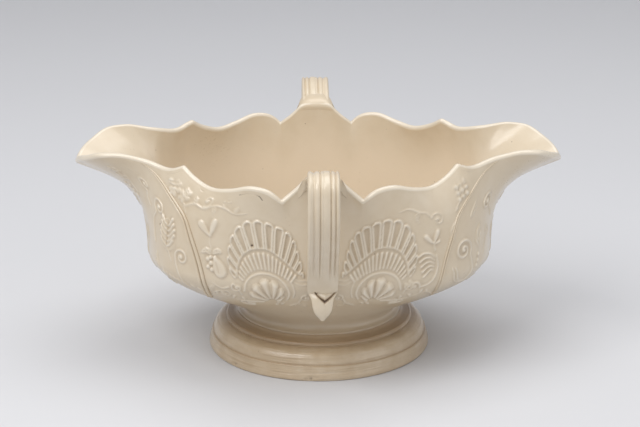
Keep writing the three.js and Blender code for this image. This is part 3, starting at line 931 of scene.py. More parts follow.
class Carving:
    """Raised and sunk work drawn on a part of the wall, in its chart.

    The chart gives each place its distance right of a centre line, seen from outside, and its
    distance up from the belly, both along the wall. A drawing can be mirrored about the line.
    """

    def __init__(self, right: Array, up: Array) -> None:
        """Starts with a smooth wall."""
        self.right = right
        self.up = up
        self.height = np.zeros_like(right)
        self.stain = np.zeros_like(right)
        self.mirror = 1.0
        self.shift = 0.0

    def mirrored(self, shift: float = 0.0) -> "Carving":
        """The same work, drawn mirrored and then shifted to the right."""
        other = Carving(self.right, self.up)
        other.height = self.height
        other.mirror = -self.mirror
        other.shift = shift
        return other

    def _placed(self, points: Places) -> Array:
        """Points with the mirror and the shift applied."""
        return np.array(points, float) * [self.mirror, 1] + [self.shift, 0]

    def _window(self, points: Array, margin: float) -> Block:
        """The smallest block of the grid that holds the points and a margin, or an empty one."""
        low = points.min(axis=0) - margin
        high = points.max(axis=0) + margin
        inside = (self.right >= low[0]) & (self.right <= high[0])
        inside &= (self.up >= low[1]) & (self.up <= high[1])
        rows = np.flatnonzero(inside.any(axis=1))
        columns = np.flatnonzero(inside.any(axis=0))
        if len(rows) < 3 or len(columns) < 3:
            return slice(0, 0), slice(0, 0)
        return slice(rows[0], rows[-1] + 1), slice(columns[0], columns[-1] + 1)

    def _along(self, path: Array, window: Block) -> tuple[Array, Array]:
        """Distance from a path and share of the way along it."""
        right = self.right[window]
        up = self.up[window]
        best = np.full(right.shape, 1e9)
        share = np.zeros_like(right)
        place = lengths_along(path)
        place /= place[-1]
        for start, end, here, there in zip(path, path[1:], place, place[1:]):
            step = end - start
            t = ((right - start[0]) * step[0] + (up - start[1]) * step[1]) / (step @ step)
            t = np.clip(t, 0, 1)
            distance = np.hypot(right - start[0] - t * step[0], up - start[1] - t * step[1])
            closer = distance < best
            best = np.where(closer, distance, best)
            share = np.where(closer, here + (there - here) * t, share)
        return best, share

    def _near(self, path: Array, margin: float) -> tuple[Block, Array, Array]:
        """The block round a path, its places' distances from it and their shares of the way."""
        window = self._window(path, margin)
        return (window, *self._along(path, window))

    def _about(self, place: Place, margin: float) -> tuple[Block, Array]:
        """The block round a place, and its places' squared distances from it."""
        centre = self._placed([place])
        window = self._window(centre, margin)
        right = self.right[window] - centre[0, 0]
        up = self.up[window] - centre[0, 1]
        return window, right**2 + up**2

    def _curve(self, stations: Places) -> Array:
        """A smooth line through stations, with the mirror and the shift applied."""
        return smooth_run(self._placed(stations), CURVE_STEPS)

    def _raise(self, window: Block, height: Array) -> None:
        """Raises the wall to a height where it is lower."""
        self.height[window] = np.maximum(self.height[window], height)

    def ridge(
        self,
        stations: Places,
        width: float = 0.55,
        height: float = 0.45,
        ends: tuple[float, float] = (1.0, 1.0),
    ) -> None:
        """A raised line.

        Args:
            stations: Places on the line.
            width: Half its width.
            height: Its height.
            ends: Shares of the width and the height that its two ends keep.
        """
        window, distance, share = self._near(self._curve(stations), width * 1.2)
        size = ends[0] + (ends[1] - ends[0]) * share
        shape = np.clip(1 - (distance / (width * size)) ** 2, 0, 1)
        self._raise(window, height * size**0.5 * shape)

    def groove(self, stations: Places, width: float = 0.3, depth: float = 0.2) -> None:
        """A sunk line of a half width and a depth, which fades at both ends."""
        window, distance, share = self._near(self._curve(stations), width * 1.2)
        shape = np.clip(1 - (distance / width) ** 2, 0, 1) * np.clip(share * (1 - share) * 14, 0, 1)
        self.height[window] -= depth * shape

    def rim_line(self, below: float, width: float, depth: float, reach: tuple[float, float]) -> None:
        """A sunk line on both sides of the centre line that follows the rim.

        Args:
            below: Its distance under the chart's top row.
            width: Half its width.
            depth: Its depth.
            reach: Distances from the centre line where it starts and ends.
        """
        away = np.abs(self.right)
        present = smoothstep((away - reach[0]) / 4) * smoothstep((reach[1] - away) / 6)
        gap = (self.up[-1][None, :] - self.up - below) / width
        self.height -= depth * present * np.clip(1 - gap**2, 0, 1)

    def pinhole(self, place: Place, radius: float = 0.62) -> None:
        """A burst bubble: a small dark pit."""
        self.pit(place, radius, 0.35)
        self._stain(np.array([place, place], float) + [[0, 0], [0.01, 0]], radius)

    def hairline(self, stations: Places, width: float = 0.3) -> None:
        """A firing crack stained brown."""
        self.groove(stations, width, 0.18)
        self._stain(smooth_run(stations, CURVE_STEPS), width, 0.8)

    def _stain(self, path: Array, width: float, strength: float = 1.0) -> None:
        """Darkens the wall along a path."""
        window, distance, _ = self._near(path, width * 1.6)
        dark = np.clip(1.25 - distance / width, 0, 1) * strength
        self.stain[window] = np.maximum(self.stain[window], dark)

    def pearl(self, place: Place, radius: float, height: float) -> None:
        """A raised round bead."""
        window, square = self._about(place, radius * 1.1)
        self._raise(window, height * np.sqrt(np.clip(1 - square / radius**2, 0, 1)))

    def pit(self, place: Place, radius: float, depth: float) -> None:
        """A sunk round pit."""
        window, square = self._about(place, radius * 1.2)
        self.height[window] -= depth * np.clip(1 - square / radius**2, 0, 1)

    def petal(self, base: Place, tip: Place, width: float, height: float, hollow: float = 0.0) -> None:
        """A drop-shaped pad, widest near its tip.

        Args:
            base: Its narrow end.
            tip: Its broad end.
            width: Half its greatest width.
            height: Its height.
            hollow: Depth of the dish inside its raised edge.
        """
        window, distance, share = self._near(self._placed([base, tip]), width * 1.3)
        wide = width * (0.3 + 0.7 * np.sin(np.clip(share, 0, 1) ** 1.1 * math.pi * 0.62))
        nearness = np.clip(1 - (distance / wide) ** 2, 0, 1)
        dome = np.sqrt(nearness)
        self._raise(window, height * dome - hollow * smoothstep((nearness - 0.35) / 0.5))

    def leaf(
        self, stations: Places, width: float, height: float, veins: int = 5, fullness: float = 0.85
    ) -> None:
        """A leaf with a sunk midrib and slanting veins.

        Args:
            stations: Places along its midrib, from the stem to the tip.
            width: Half its greatest width.
            height: Its height.
            veins: Number of veins on each side.
            fullness: Power that makes the outline fuller when smaller.
        """
        window, distance, share = self._near(self._curve(stations), width * 1.2)
        wide = width * np.sin(np.clip(share, 0.001, 0.999) ** 0.8 * math.pi) ** fullness
        nearness = np.clip(1 - distance / np.maximum(wide, 0.05), 0, 1)
        body = np.clip(nearness * 3.2, 0, 1) ** 0.6
        ribs = 0.5 + 0.5 * np.cos(2 * math.pi * (share * veins - (1 - nearness) * 1.3))
        middle = np.clip(1 - (distance / 0.3) ** 2, 0, 1)
        shape = body * (0.4 + 0.6 * ribs**1.4) - middle * 0.35 * body
        self._raise(window, height * shape)

    def scroll(
        self,
        centre: Place,
        radius: float,
        start: float,
        turns: float,
        width: float = 0.6,
        height: float = 0.5,
        stem: Places = (),
    ) -> None:
        """A rolled-up line with a bead in its middle.

        Args:
            centre: The middle of the roll.
            radius: Its outer radius.
            start: Direction from the centre to the roll's outer end, in degrees.
            turns: Turns to the middle, anticlockwise, or clockwise when negative.
            width: Half the line's width.
            height: Its height.
            stem: Places on the stem that runs into the roll's outer end.
        """
        share = np.linspace(0, 1, max(int(abs(turns) * 12), 4))
        turn = math.radians(start) + 2 * math.pi * turns * share
        away = radius * (1 - share) ** 0.85 + radius * 0.1
        roll = np.stack([centre[0] + away * np.cos(turn), centre[1] + away * np.sin(turn)], -1)
        self.ridge([*stem, *roll], width, height, (0.55 if len(stem) else 0.9, 0.75))
        self.pearl(centre, width * 1.15, height * 1.05)

    def flower(
        self, centre: Place, radius: float, petals: int, height: float = 0.6, first: float = 90.0
    ) -> None:
        """A flower head: a ring of dished petals round a bead with a pit."""
        for k in range(petals):
            turn = math.radians(first) + 2 * math.pi * k / petals
            toward = np.array([math.cos(turn), math.sin(turn)])
            tip = np.array(centre) + toward * radius * 0.72
            base = np.array(centre) + toward * radius * 0.25
            self.petal(base, tip, radius * 1.9 / petals, height, height * 0.3)
        self.pearl(centre, radius * 0.27, height * 1.15)
        self.pit(centre, radius * 0.12, height * 0.5)

    def _fan_place(self, hinge: Place, inner: Sequence[Any], outer: Sequence[Any]) -> tuple[Any, ...]:
        """Where a fan's grid places lie: window, share across it, radius, and its two edges."""
        middle = self._placed([hinge])[0]
        arcs = []
        for edge in (inner, outer):
            line = smooth_run(self._placed(edge), 8) - middle
            turn = np.arctan2(line[:, 1], line[:, 0])
            order = np.argsort(turn)
            share = lengths_along(line)
            arcs.append((turn[order], np.hypot(line[:, 0], line[:, 1])[order], (share / share[-1])[order]))
        window = self._window(self._placed([*outer, *inner]), 0.6)
        right = self.right[window] - middle[0]
        up = self.up[window] - middle[1]
        turn = np.arctan2(up, right)
        radius = np.hypot(right, up)
        outside = (turn < arcs[1][0][0]) | (turn > arcs[1][0][-1])
        far = np.where(outside, 0.0, np.interp(turn, arcs[1][0], arcs[1][1]))
        near = np.interp(turn, arcs[0][0], arcs[0][1])
        share = np.interp(turn, arcs[1][0], arcs[1][2])
        return window, share, radius, near, far, lengths_along(smooth_run(self._placed(outer), 8))[-1]

    @staticmethod
    def _inward(cell: Array, radius: Array, far: Array, half: Array) -> Array:
        """Distance in from the edges of a fan's cells, which end in arches; cells are counted across it."""
        across = 2 * np.mod(cell, 1) - 1
        arch = far - 0.9 * half * (1 - np.sqrt(np.clip(1 - across**2, 0, 1)))
        return np.minimum((1 - np.abs(across)) * half, arch - radius)

    def channel_fan(
        self, hinge: Any, inner: Any, outer: Any, count: int, height: float, rim: float = 0.46
    ) -> None:
        """A fan of sunk channels between thin raised rims that join in arches at the outer edge."""
        window, share, radius, near, far, length = self._fan_place(hinge, inner, outer)
        half = 0.5 * length / count * radius / np.maximum(far, 1)
        inward = self._inward(share * count, radius, far, half)
        line = np.clip(1 - ((inward - rim) / rim) ** 2, 0, 1) ** 0.8
        shape = np.where(inward > 0, height * line, 0) * smoothstep((radius - near + 0.6) / 0.6)
        self._raise(window, np.where(radius > near - 0.6, shape, 0))
        sunk = smoothstep((inward - rim * 1.6) / 0.4) * smoothstep((radius - near) / 0.8)
        self.height[window] -= 0.22 * height * sunk

    def ridge_fan(self, hinge: Any, inner: Any, outer: Any, count: int, height: float, base: float) -> None:
        """A fan of thin raised ridges on a raised bed, rounded off at the outer edge."""
        window, share, radius, near, far, length = self._fan_place(hinge, inner, outer)
        across = 2 * np.mod(share * count, 1) - 1
        half = 0.5 * length / count
        arch = far - 0.5 * half * across**2
        edge = smoothstep((arch - radius) / 0.7)
        line = np.clip(1 - (across / 0.62) ** 2, 0, 1) ** 0.8
        growth = 0.75 + 0.25 * np.clip((radius - near) / np.maximum(far - near, 0.1), 0, 1)
        shape = (base + (height - base) * line * growth) * edge
        shape = shape * smoothstep((radius - near + 0.7) / 0.7)
        self._raise(window, shape)

    def drop_fan(self, hinge: Any, inner: Any, outer: Any, count: int, height: float) -> None:
        """A fan of convex drops, each inside a thin double outline."""
        window, share, radius, near, far, length = self._fan_place(hinge, inner, outer)
        half = 0.5 * length / count * (0.35 + 0.65 * radius / np.maximum(far, 1))
        inward = self._inward(share * count, radius, far, half)
        dome = np.sqrt(np.clip((inward - 0.3) / (half * 0.7), 0, 1))
        outline = np.clip(1 - ((inward - 0.16) / 0.18) ** 2, 0, 1) * 0.55
        shape = height * np.maximum(dome, outline) * smoothstep((radius - near) / 1.2)
        self._raise(window, np.where(inward > 0, shape, 0))


@dataclass
class SideDesign:
    """The relief between the dividers of a long side: two shells among flowers and scrolls."""

    depth: float = 0.62

    def carve(self, c: Carving) -> None:
        """Draws the design."""
        self._shell(c)
        self._shell(c.mirrored(0.4))
        self._left_field(c)
        self._right_field(c)
        self._tail_field(c)
        self._mouldings(c)

    def _shell(self, c: Carving) -> None:
        """A shell: an outer fan of channels, a middle one of ridges and an inner one of drops."""
        hinge = (-19.2, -10.8)
        outer = [
            (-35.6, 2.0), (-37.4, 8.0), (-37.0, 14.6), (-35.4, 20.2), (-31.0, 24.6), (-25.2, 25.4),
            (-20.0, 24.0), (-14.6, 21.6), (-10.8, 17.0), (-8.8, 11.0), (-7.2, 5.0), (-6.8, 1.0),
        ]
        middle = [
            (-33.4, 2.0), (-33.0, 6.6), (-30.8, 11.2), (-27.0, 13.5), (-21.5, 13.5), (-16.8, 10.6),
            (-12.6, 7.0), (-8.8, 3.6),
        ]
        inner = [(-30.6, 0.6), (-28.6, 3.6), (-25.4, 5.2), (-21.0, 5.0), (-16.4, 3.2), (-12.0, 0.2)]
        drops = [
            (-28.2, -8.6), (-28.4, -4.6), (-26.4, -0.6), (-22.4, 1.7), (-18.4, 0.7), (-15.4, -2.6),
            (-14.4, -6.6), (-15.4, -10.6),
        ]
        core = [(-20.2, -10.6), (-20.0, -10.0), (-19.2, -9.6), (-18.4, -10.0), (-18.2, -10.8)]
        band = [
            (-30.4, -4.6), (-29.6, -0.4), (-27.0, 2.4), (-22.6, 3.5), (-17.8, 2.2), (-14.2, -1.2),
            (-12.8, -5.4), (-13.6, -9.6),
        ]
        c.channel_fan(hinge, middle, outer, 14, self.depth * 1.15, 0.56)
        short = [(x * 0.96 - 0.77, y * 0.94 - 0.65) for x, y in middle]
        c.ridge(middle, 0.75, self.depth * 0.8, (0.8, 0.6))
        c.ridge_fan(hinge, inner, short, 17, self.depth * 1.15, self.depth * 0.1)
        c.ridge(band, 0.8, self.depth * 0.85, (0.7, 0.7))
        c.ridge([(-17.0, 4.2), (-12.6, 0.6), (-10.8, -3.8), (-11.2, -8.2)], 0.5, self.depth * 0.7, (0.5, 0.8))
        c.drop_fan(hinge, core, drops, 6, self.depth * 1.6)
        c.ridge([(-11.4, 2.0), (-8.6, 0.6), (-5.8, 0.8)], 0.45, 0.4, (0.6, 0.6))
        c.ridge([(-10.8, 0.2), (-8.4, -1.2), (-5.8, -1.0)], 0.45, 0.4, (0.6, 0.6))
        eye = [(-22.6, -12.0), (-27.0, -12.4), (-31.2, -12.6), (-31.8, -14.2), (-29.6, -16.2), (-26.4, -16.6)]
        c.ridge(eye, 0.6, self.depth, (0.9, 0.9))
        c.petal((-29.6, -13.8), (-26.8, -14.8), 0.9, self.depth)
        c.scroll((-33.4, -3.2), 2.1, 130, 1.2, 0.65, self.depth, [(-31.4, -7.2), (-32.4, -4.8)])
        for place in ((-17.2, -12.8), (-16.0, -14.6), (-18.0, -15.4)):
            c.petal(place, (place[0] + 0.8, place[1] + 1.6), 0.7, 0.42)

    def _left_field(self, c: Carving) -> None:
        """Flower, branch, sprig and bud on the left of the shells."""
        for place, radius, petals in (((-66.5, 32.8), 3.6, 7), ((-60.6, 31.0), 3.0, 6)):
            c.flower(place, radius, petals, self.depth)
        c.petal((-68.8, 34.6), (-71.4, 35.4), 1.1, self.depth * 0.8)
        c.ridge([(-60.4, 29.0), (-58.6, 26.6), (-57.4, 24.4)], 0.4, 0.35, (0.6, 1.0))
        branch = [
            (-59.0, 27.0), (-54.6, 28.6), (-50.0, 27.4), (-45.4, 29.2), (-40.6, 28.6), (-35.6, 27.0),
            (-31.0, 27.6),
        ]
        c.ridge(branch, 0.55, 0.42, (1.0, 0.6))
        c.scroll((-49.6, 30.4), 2.3, 250, 1.1, 0.5, 0.42)
        c.scroll((-40.2, 31.0), 2.1, 260, -1.1, 0.5, 0.4)
        for x, y, lean, rise in ((-54.0, 28.4, -1.6, 3.4), (-45.6, 29.0, 0.6, -3.4), (-36.2, 27.2, 1.6, 3.0)):
            c.leaf([(x, y), (x + lean, y + rise)], 1.1, 0.42, 3)
        c.petal((-45.0, 17.2), (-49.6, 21.6), 1.35, 0.75, 0.2)
        c.petal((-44.8, 17.2), (-43.6, 22.8), 1.3, 0.75, 0.2)
        c.ridge([(-44.9, 17.4), (-45.0, 14.6), (-44.0, 11.6)], 0.35, 0.35, (0.6, 1.0))
        c.leaf([(-43.8, 9.8), (-46.0, 11.2), (-48.8, 9.8)], 1.3, 0.65, 4)
        c.leaf([(-43.4, 10.0), (-41.6, 11.4), (-39.0, 10.8)], 1.2, 0.65, 4)
        for k, place in enumerate(((-45.4, 7.8), (-44.0, 6.2), (-45.2, 4.6), (-43.6, 3.6), (-44.2, 8.6))):
            c.pearl(place, 1.05 - 0.04 * k, 0.7)
        c.petal((-42.4, 8.6), (-39.9, 3.0), 2.7, 0.95, 0.12)
        c.groove([(-42.0, 7.2), (-41.0, 4.6), (-40.4, 2.0)], 0.35, 0.3)
        c.ridge([(-43.4, -1.8), (-41.4, -3.4), (-39.2, -4.2), (-36.8, -3.2)], 0.5, 0.45, (0.5, 1.0))
        c.leaf([(-42.6, -3.0), (-44.4, -5.0), (-44.6, -7.6)], 0.9, 0.42, 4)
        c.scroll((-38.2, -8.0), 2.4, 130, -1.1, 0.55, 0.48, [(-43.6, -9.6), (-42.2, -6.6)])
        self._border(c, -1.0)

    def _right_field(self, c: Carving) -> None:
        """Ridged C-scroll, sprig and curl on the right of the shells."""
        for k in range(5):
            low = 2.1 * k
            arc = [
                (38.0 + 0.25 * low, 8.6 - low),
                (40.2 + 0.2 * low, 9.8 - low * 0.95),
                (43.0, 9.4 - low * 0.8),
                (45.2 - 0.1 * low, 7.6 - low * 0.6),
            ]
            c.ridge(arc, 0.62, 0.68, (0.9, 0.45))
        c.ridge([(45.8, 8.4), (46.4, 4.4), (45.2, 0.0), (42.2, -3.2), (38.8, -4.2)], 0.6, 0.6, (0.6, 0.9))
        c.scroll((36.6, -3.4), 2.0, 330, 1.1, 0.6, 0.6)
        for k in range(9):
            x = 60.4 + 2.5 * (k % 3) + 0.5 * (k // 3)
            y = 28.4 + 2.5 * (k // 3) + 0.9 * (k % 3)
            c.pearl((x, y), 1.05 - 0.1 * (k % 2), 0.62)
        for k in range(3):
            x, y = 60.2 + 2.5 * k, 27.6 + 0.9 * k
            c.ridge([(x, y), (61.4 + 2.5 * k, 34.2 + 0.9 * k)], 0.45, 0.4, (0.7, 0.7))
        c.ridge([(57.6, 24.6), (58.8, 26.4), (60.6, 28.4)], 0.4, 0.4, (1.0, 0.6))
        c.flower((34.4, -2.6), 2.2, 5, 0.5)
        c.petal((44.6, 13.4), (41.6, 16.4), 1.0, 0.7, 0.14)
        c.petal((44.8, 13.4), (47.0, 18.0), 1.0, 0.7, 0.14)
        c.petal((44.8, 13.0), (47.4, 14.0), 0.6, 0.5)
        c.ridge([(44.6, 14.0), (45.0, 12.4), (45.4, 10.6)], 0.45, 0.45, (0.7, 1.0))
        c.scroll((47.8, 22.6), 2.6, 160, -1.2, 0.5, 0.42, [(40.2, 26.4), (43.0, 25.8)])
        c.ridge([(40.4, 26.4), (36.0, 28.4), (31.6, 27.6)], 0.45, 0.36, (1.0, 0.5))
        c.leaf([(40.0, 26.6), (38.6, 24.4), (39.2, 22.0)], 1.0, 0.4, 3)
        c.pit((46.4, -3.0), 0.5, 0.3)
        self._border(c, 1.0)

    def _border(self, c: Carving, side: float) -> None:
        """A low wavy scroll with leaves along the bottom of a field, on the left or the right."""
        wave = [
            (25.5, -13.0), (29.0, -12.0), (33.0, -12.6), (36.6, -10.4), (40.0, -8.6), (43.4, -10.0),
            (45.0, -12.6),
        ]
        c.ridge([(side * x, y) for x, y in wave], 0.55, 0.42, (0.5, 0.8))
        for x, y, lean in ((30.5, -11.8, 0.5), (35.0, -11.0, -0.4), (39.0, -8.6, 0.6), (42.0, -9.0, -0.2)):
            c.petal((side * x, y), (side * (x + lean), y + 2.2), 0.8, 0.4)

    def _tail_field(self, c: Carving) -> None:
        """Curls and leaves beside the handle's tail."""
        for side in (-1.0, 1.0):
            c.scroll((side * 6.3, -8.4), 1.9, 90, -side * 1.2, 0.5, 0.5)
            c.ridge([(side * 8.2, -9.6), (side * 9.0, -13.0), (side * 7.2, -17.0)], 0.5, 0.42, (0.9, 0.4))
            c.leaf([(side * 8.0, -12.6), (side * 11.0, -14.6), (side * 13.0, -17.6)], 1.0, 0.42, 4)
            c.leaf([(side * 6.8, -14.4), (side * 6.4, -18.0)], 0.8, 0.38, 3)

    def _mouldings(self, c: Carving) -> None:
        """Fine double lines that follow the rim."""
        for below in (2.5, 3.9):
            c.rim_line(below, 0.45, 0.36, (18.0, 49.0))
            c.rim_line(below + 0.4, 0.5, 0.4, (57.0, 84.0))


@dataclass
class EndDesign:
    """The relief under a lip: flowers, rolled stems and leaves on both sides of a palmette."""

    depth: float = 0.55

    def carve(self, c: Carving) -> None:
        """Draws the design."""
        self._right_half(c)
        self._left_half(c)
        self._palmette(c)

    def _right_half(self, c: Carving) -> None:
        """What the photograph shows on its left: flowers, four rolls and a veined leaf."""
        c.flower((21.6, 39.0), 2.5, 6, self.depth)
        c.flower((20.4, 34.6), 2.5, 6, self.depth, 60)
        c.ridge([(23.6, 36.4), (22.4, 33.0), (21.2, 30.2), (20.6, 26.4)], 0.45, 0.42, (0.7, 1.0))
        for place in ((16.0, 30.4), (17.0, 28.6), (18.2, 27.0), (17.2, 25.8), (19.0, 24.8), (18.4, 29.4)):
            c.pearl(place, 0.85, 0.5)
        for gap in (0.0, 1.1):
            c.ridge([(29.4, 38.4 - gap), (31.6, 37.4 - gap), (34.0, 35.6 - gap)], 0.3, 0.26, (0.6, 0.6))
        c.scroll((30.2, 30.8), 2.6, 250, -1.4, 0.7, self.depth * 1.15, [(28.2, 22.0), (27.4, 25.4)])
        bold = self.depth * 1.2
        c.scroll((36.2, 23.2), 3.3, 215, -1.4, 0.75, bold, [(30.2, 8.0), (29.6, 13.6), (30.6, 18.4)])
        self._bold_leaf(c)
        c.ridge([(42.6, 3.2), (41.2, 6.2), (39.6, 9.2)], 0.5, 0.5, (0.6, 1.0))
        c.scroll((48.4, 6.0), 3.2, 200, -1.4, 0.75, bold, [(45.6, -7.4), (46.8, -2.4), (45.4, 2.8)])
        for k in range(6):
            place = 36.6 + 2.0 * k
            c.petal((place, -6.2 - 0.3 * k), (place - 0.6, -2.8 - 0.5 * k), 1.1, 0.5, 0.1)
        for place in ((49.8, -6.2), (51.8, -7.4), (53.6, -8.2)):
            c.pearl(place, 1.0, 0.45)
        c.leaf([(33.0, -2.4), (31.0, 1.4), (31.6, 5.4)], 1.5, 0.45, 4)
        c.scroll((33.4, -9.6), 2.3, 30, 1.2, 0.5, 0.45, [(41.0, -10.8), (37.6, -9.0)])

    def _bold_leaf(self, c: Carving) -> None:
        """An upright leaf with five thick veins that rise to the right from its midrib."""
        midrib = [(39.4, 7.2), (40.2, 11.0), (41.0, 15.0), (42.2, 20.2)]
        c.leaf(midrib, 5.2, self.depth * 0.8, 1, 0.5)
        for k in range(5):
            low = 8.8 + 2.1 * k
            reach = 5.0 - 0.6 * abs(k - 1.4)
            x = 39.9 + 0.34 * k
            right = [(x, low), (x + reach * 0.5, low + 0.9), (x + reach, low + 3.2)]
            left = [(x - 0.5, low + 0.6), (x - reach * 0.45, low + 1.5), (x - reach * 0.8, low + 3.6)]
            for vein in (right, left):
                c.ridge(vein, 0.75, self.depth * 1.6, (0.7, 1.0))
        c.groove(midrib, 0.45, 0.35)

    def _left_half(self, c: Carving) -> None:
        """What the photograph shows on its right: a tall flower, rolls, a leaf and crescents."""
        c.scroll((-31.4, 23.4), 3.3, 330, 1.5, 0.8, self.depth * 1.3, [(-24.6, 16.6), (-26.6, 20.0)])
        c.leaf([(-36.0, 6.6), (-37.2, 11.0), (-36.0, 16.8)], 2.4, self.depth * 0.9, 3, 0.9)
        stem = [(-41.4, -6.6), (-41.2, -1.6), (-42.2, 3.0)]
        c.scroll((-47.0, 7.8), 4.3, 330, 1.6, 0.85, self.depth * 1.4, stem)
        for gap in (0.0, 1.6):
            arc = [(-52.8 + gap, 1.4), (-50.6 + gap, -3.2), (-46.6 + gap, -6.0), (-42.8 + gap, -6.8)]
            c.ridge(arc, 0.65, 0.7, (0.6, 0.6))
        for place in ((-36.8, 3.8), (-37.4, 1.4), (-38.2, -0.6)):
            c.pearl(place, 0.9, 0.6)
        c.leaf([(-43.6, 20.0), (-41.6, 23.0), (-40.8, 26.6)], 1.3, 0.42, 4)
        c.scroll((-29.0, 11.4), 2.4, 260, 1.3, 0.5, 0.42, [(-31.6, 2.0), (-30.4, 6.6)])
        c.scroll((-33.0, -8.8), 2.4, 150, -1.2, 0.5, 0.45, [(-40.6, -11.2), (-37.0, -9.4)])
        c.leaf([(-52.4, 13.2), (-53.6, 17.0), (-52.0, 21.0)], 1.4, 0.42, 4)

    def _palmette(self, c: Carving) -> None:
        """A small shell under the middle of the lip, between two rolls."""
        hinge = (0.0, -9.0)
        inner = [(-6.4, -6.6), (-4.6, -2.8), (0.0, -1.4), (4.6, -2.8), (6.4, -6.6)]
        half = [(-14.6, -3.6), (-13.6, 4.6), (-8.4, 11.6)]
        outer = [*half, (0.0, 14.4), *[(-x, y) for x, y in reversed(half)]]
        c.channel_fan(hinge, inner, outer, 11, self.depth)
        drops = [(-6.0, -7.6), (-4.2, -3.6), (0.0, -2.2), (4.2, -3.6), (6.0, -7.6)]
        core = [(-1.6, -8.6), (0.0, -7.4), (1.6, -8.6)]
        c.drop_fan(hinge, core, drops, 5, self.depth * 1.2)
        for side in (-1.0, 1.0):
            stem = [(side * 9.0, -10.6), (side * 14.6, -9.0), (side * 15.4, -4.6)]
            c.scroll((side * 18.6, -5.4), 3.0, 90, -side * 1.4, 0.6, self.depth, stem)
            c.leaf([(side * 15.6, 3.0), (side * 18.6, 7.0), (side * 19.2, 12.4)], 1.9, 0.5, 5)
            stem = [(side * 3.0, 15.4), (side * 6.4, 16.6)]
            c.scroll((side * 9.6, 20.4), 2.8, 240, -side * 1.4, 0.55, 0.48, stem)
            c.leaf([(side * 1.2, 16.4), (side * 2.6, 20.0), (side * 2.0, 25.4)], 1.3, 0.45, 5)


@dataclass(frozen=True)
class Flaws:
    """The pinholes and the firing crack on the front of this one vessel."""

    pinholes: Pairs = ((-27.6, 14.8), (-55.0, 34.6), (-72.4, 16.2))
    crack: Pairs = (
        (-36.8, 34.9), (-34.0, 35.6), (-31.0, 35.9), (-28.6, 35.2), (-26.6, 33.6),
    )

    def carve(self, c: Carving) -> None:
        """Draws the flaws."""
        for place in self.pinholes:
            c.pinhole(place)
        c.hairline(self.crack)


@dataclass(frozen=True)
class Divider:
    """The double rib between a side's relief and an end's, in the side's chart."""

    stations: Pairs = (
        (45.6, -17.0), (46.2, -12.0), (47.2, -6.0), (48.6, 0.0), (50.6, 7.0), (53.8, 14.5),
        (57.6, 21.8), (61.8, 25.6), (68.8, 30.0), (78.0, 34.2), (88.0, 39.0), (100.0, 46.0),
    )
    size: float = 1.75
    bead_height: float = 1.05
    section_points: int = 41
    growth: Pairs = (
        (-16.5, 0.25), (-14.0, 0.8), (0.0, 1.0), (14.0, 0.95), (22.0, 0.75), (30.0, 0.6), (36.0, 0.4),
        (40.0, 0.12),
    )

    def rib_tree(self) -> Forming:
        """Writes the tree that draws a section along a line that stands on the wall."""
        g = Forming("double_rib", {"Size": "NodeSocketFloat"})
        line, section = g.path_and_section()
        outline = g.node("GeometryNodeMeshToCurve", {}, {"Mesh": section})
        normal = {"Curve": line, "Normal": g.named("outward", "FLOAT_VECTOR")}
        line = g.node("GeometryNodeSetCurveNormal", {"mode": "FREE"}, normal)
        scale = g.named("growth") * g.given("Size")
        joined = {"Curve": line, "Profile Curve": outline, "Scale": scale, "Fill Caps": True}
        g.give(g.node("GeometryNodeCurveToMesh", {}, joined))
        return g

    def build(
        self, tree: Forming, name: str, line: tuple[Array, Array, Array], boldness: float, finish: Finish
    ) -> Piece:
        """Builds one rib.

        Args:
            tree: The rib's tree.
            name: The piece's name.
            line: Points on the wall, the wall's directions there and their distances up from the belly.
            boldness: Share of the full size.
            finish: The glaze.

        Returns:
            The rib's piece, undressed.
        """
        up = line[2]
        kept = (up > self.growth[0][0]) & (up < self.growth[-1][0])
        line, outward, up = (values[kept] for values in line)
        across = np.linspace(-1, 1, self.section_points)
        beads = np.maximum(self._bead(across - 0.5), self._bead(across + 0.5))
        top = np.stack([beads, across], -1)
        outline = np.vstack([[(-0.5, -1.0)], top, [(-0.5, 1.0)]])
        section = np.hstack([outline, np.zeros((len(outline), 1))])
        growth = np.interp(up, *np.array(self.growth).T)
        values = {
            "is_path": np.repeat([1.0, 0.0], [len(line), len(section)]),
            "growth": np.concatenate([growth, np.zeros(len(section))]),
            "outward": np.vstack([outward, np.zeros_like(section)]),
        }
        piece = drawn_lines(name, [(line * MM, False), (section, True)], values)
        tree.run(piece, {"Size": self.size * boldness * MM, "Material": finish})
        # Painted shade in the groove between the beads and along the rib's edges.
        beside = np.concatenate([[1.0], np.clip(1 - np.abs(across) / 0.16, 0, 1), [1.0]])
        beside[1:-1] = np.maximum(beside[1:-1], np.clip((np.abs(across) - 0.88) / 0.1, 0, 1))
        keep_value(piece, "crevice_shade", np.tile(beside * 0.75 * boldness**3, int(kept.sum())))
        return piece

    def _bead(self, across: Array) -> Array:
        """Height of a rounded bead over its own middle, for a size of 1."""
        ratio = self.bead_height / self.size
        return ratio * np.clip(1 - (across / 0.5) ** 2, 0, 1) ** 0.7


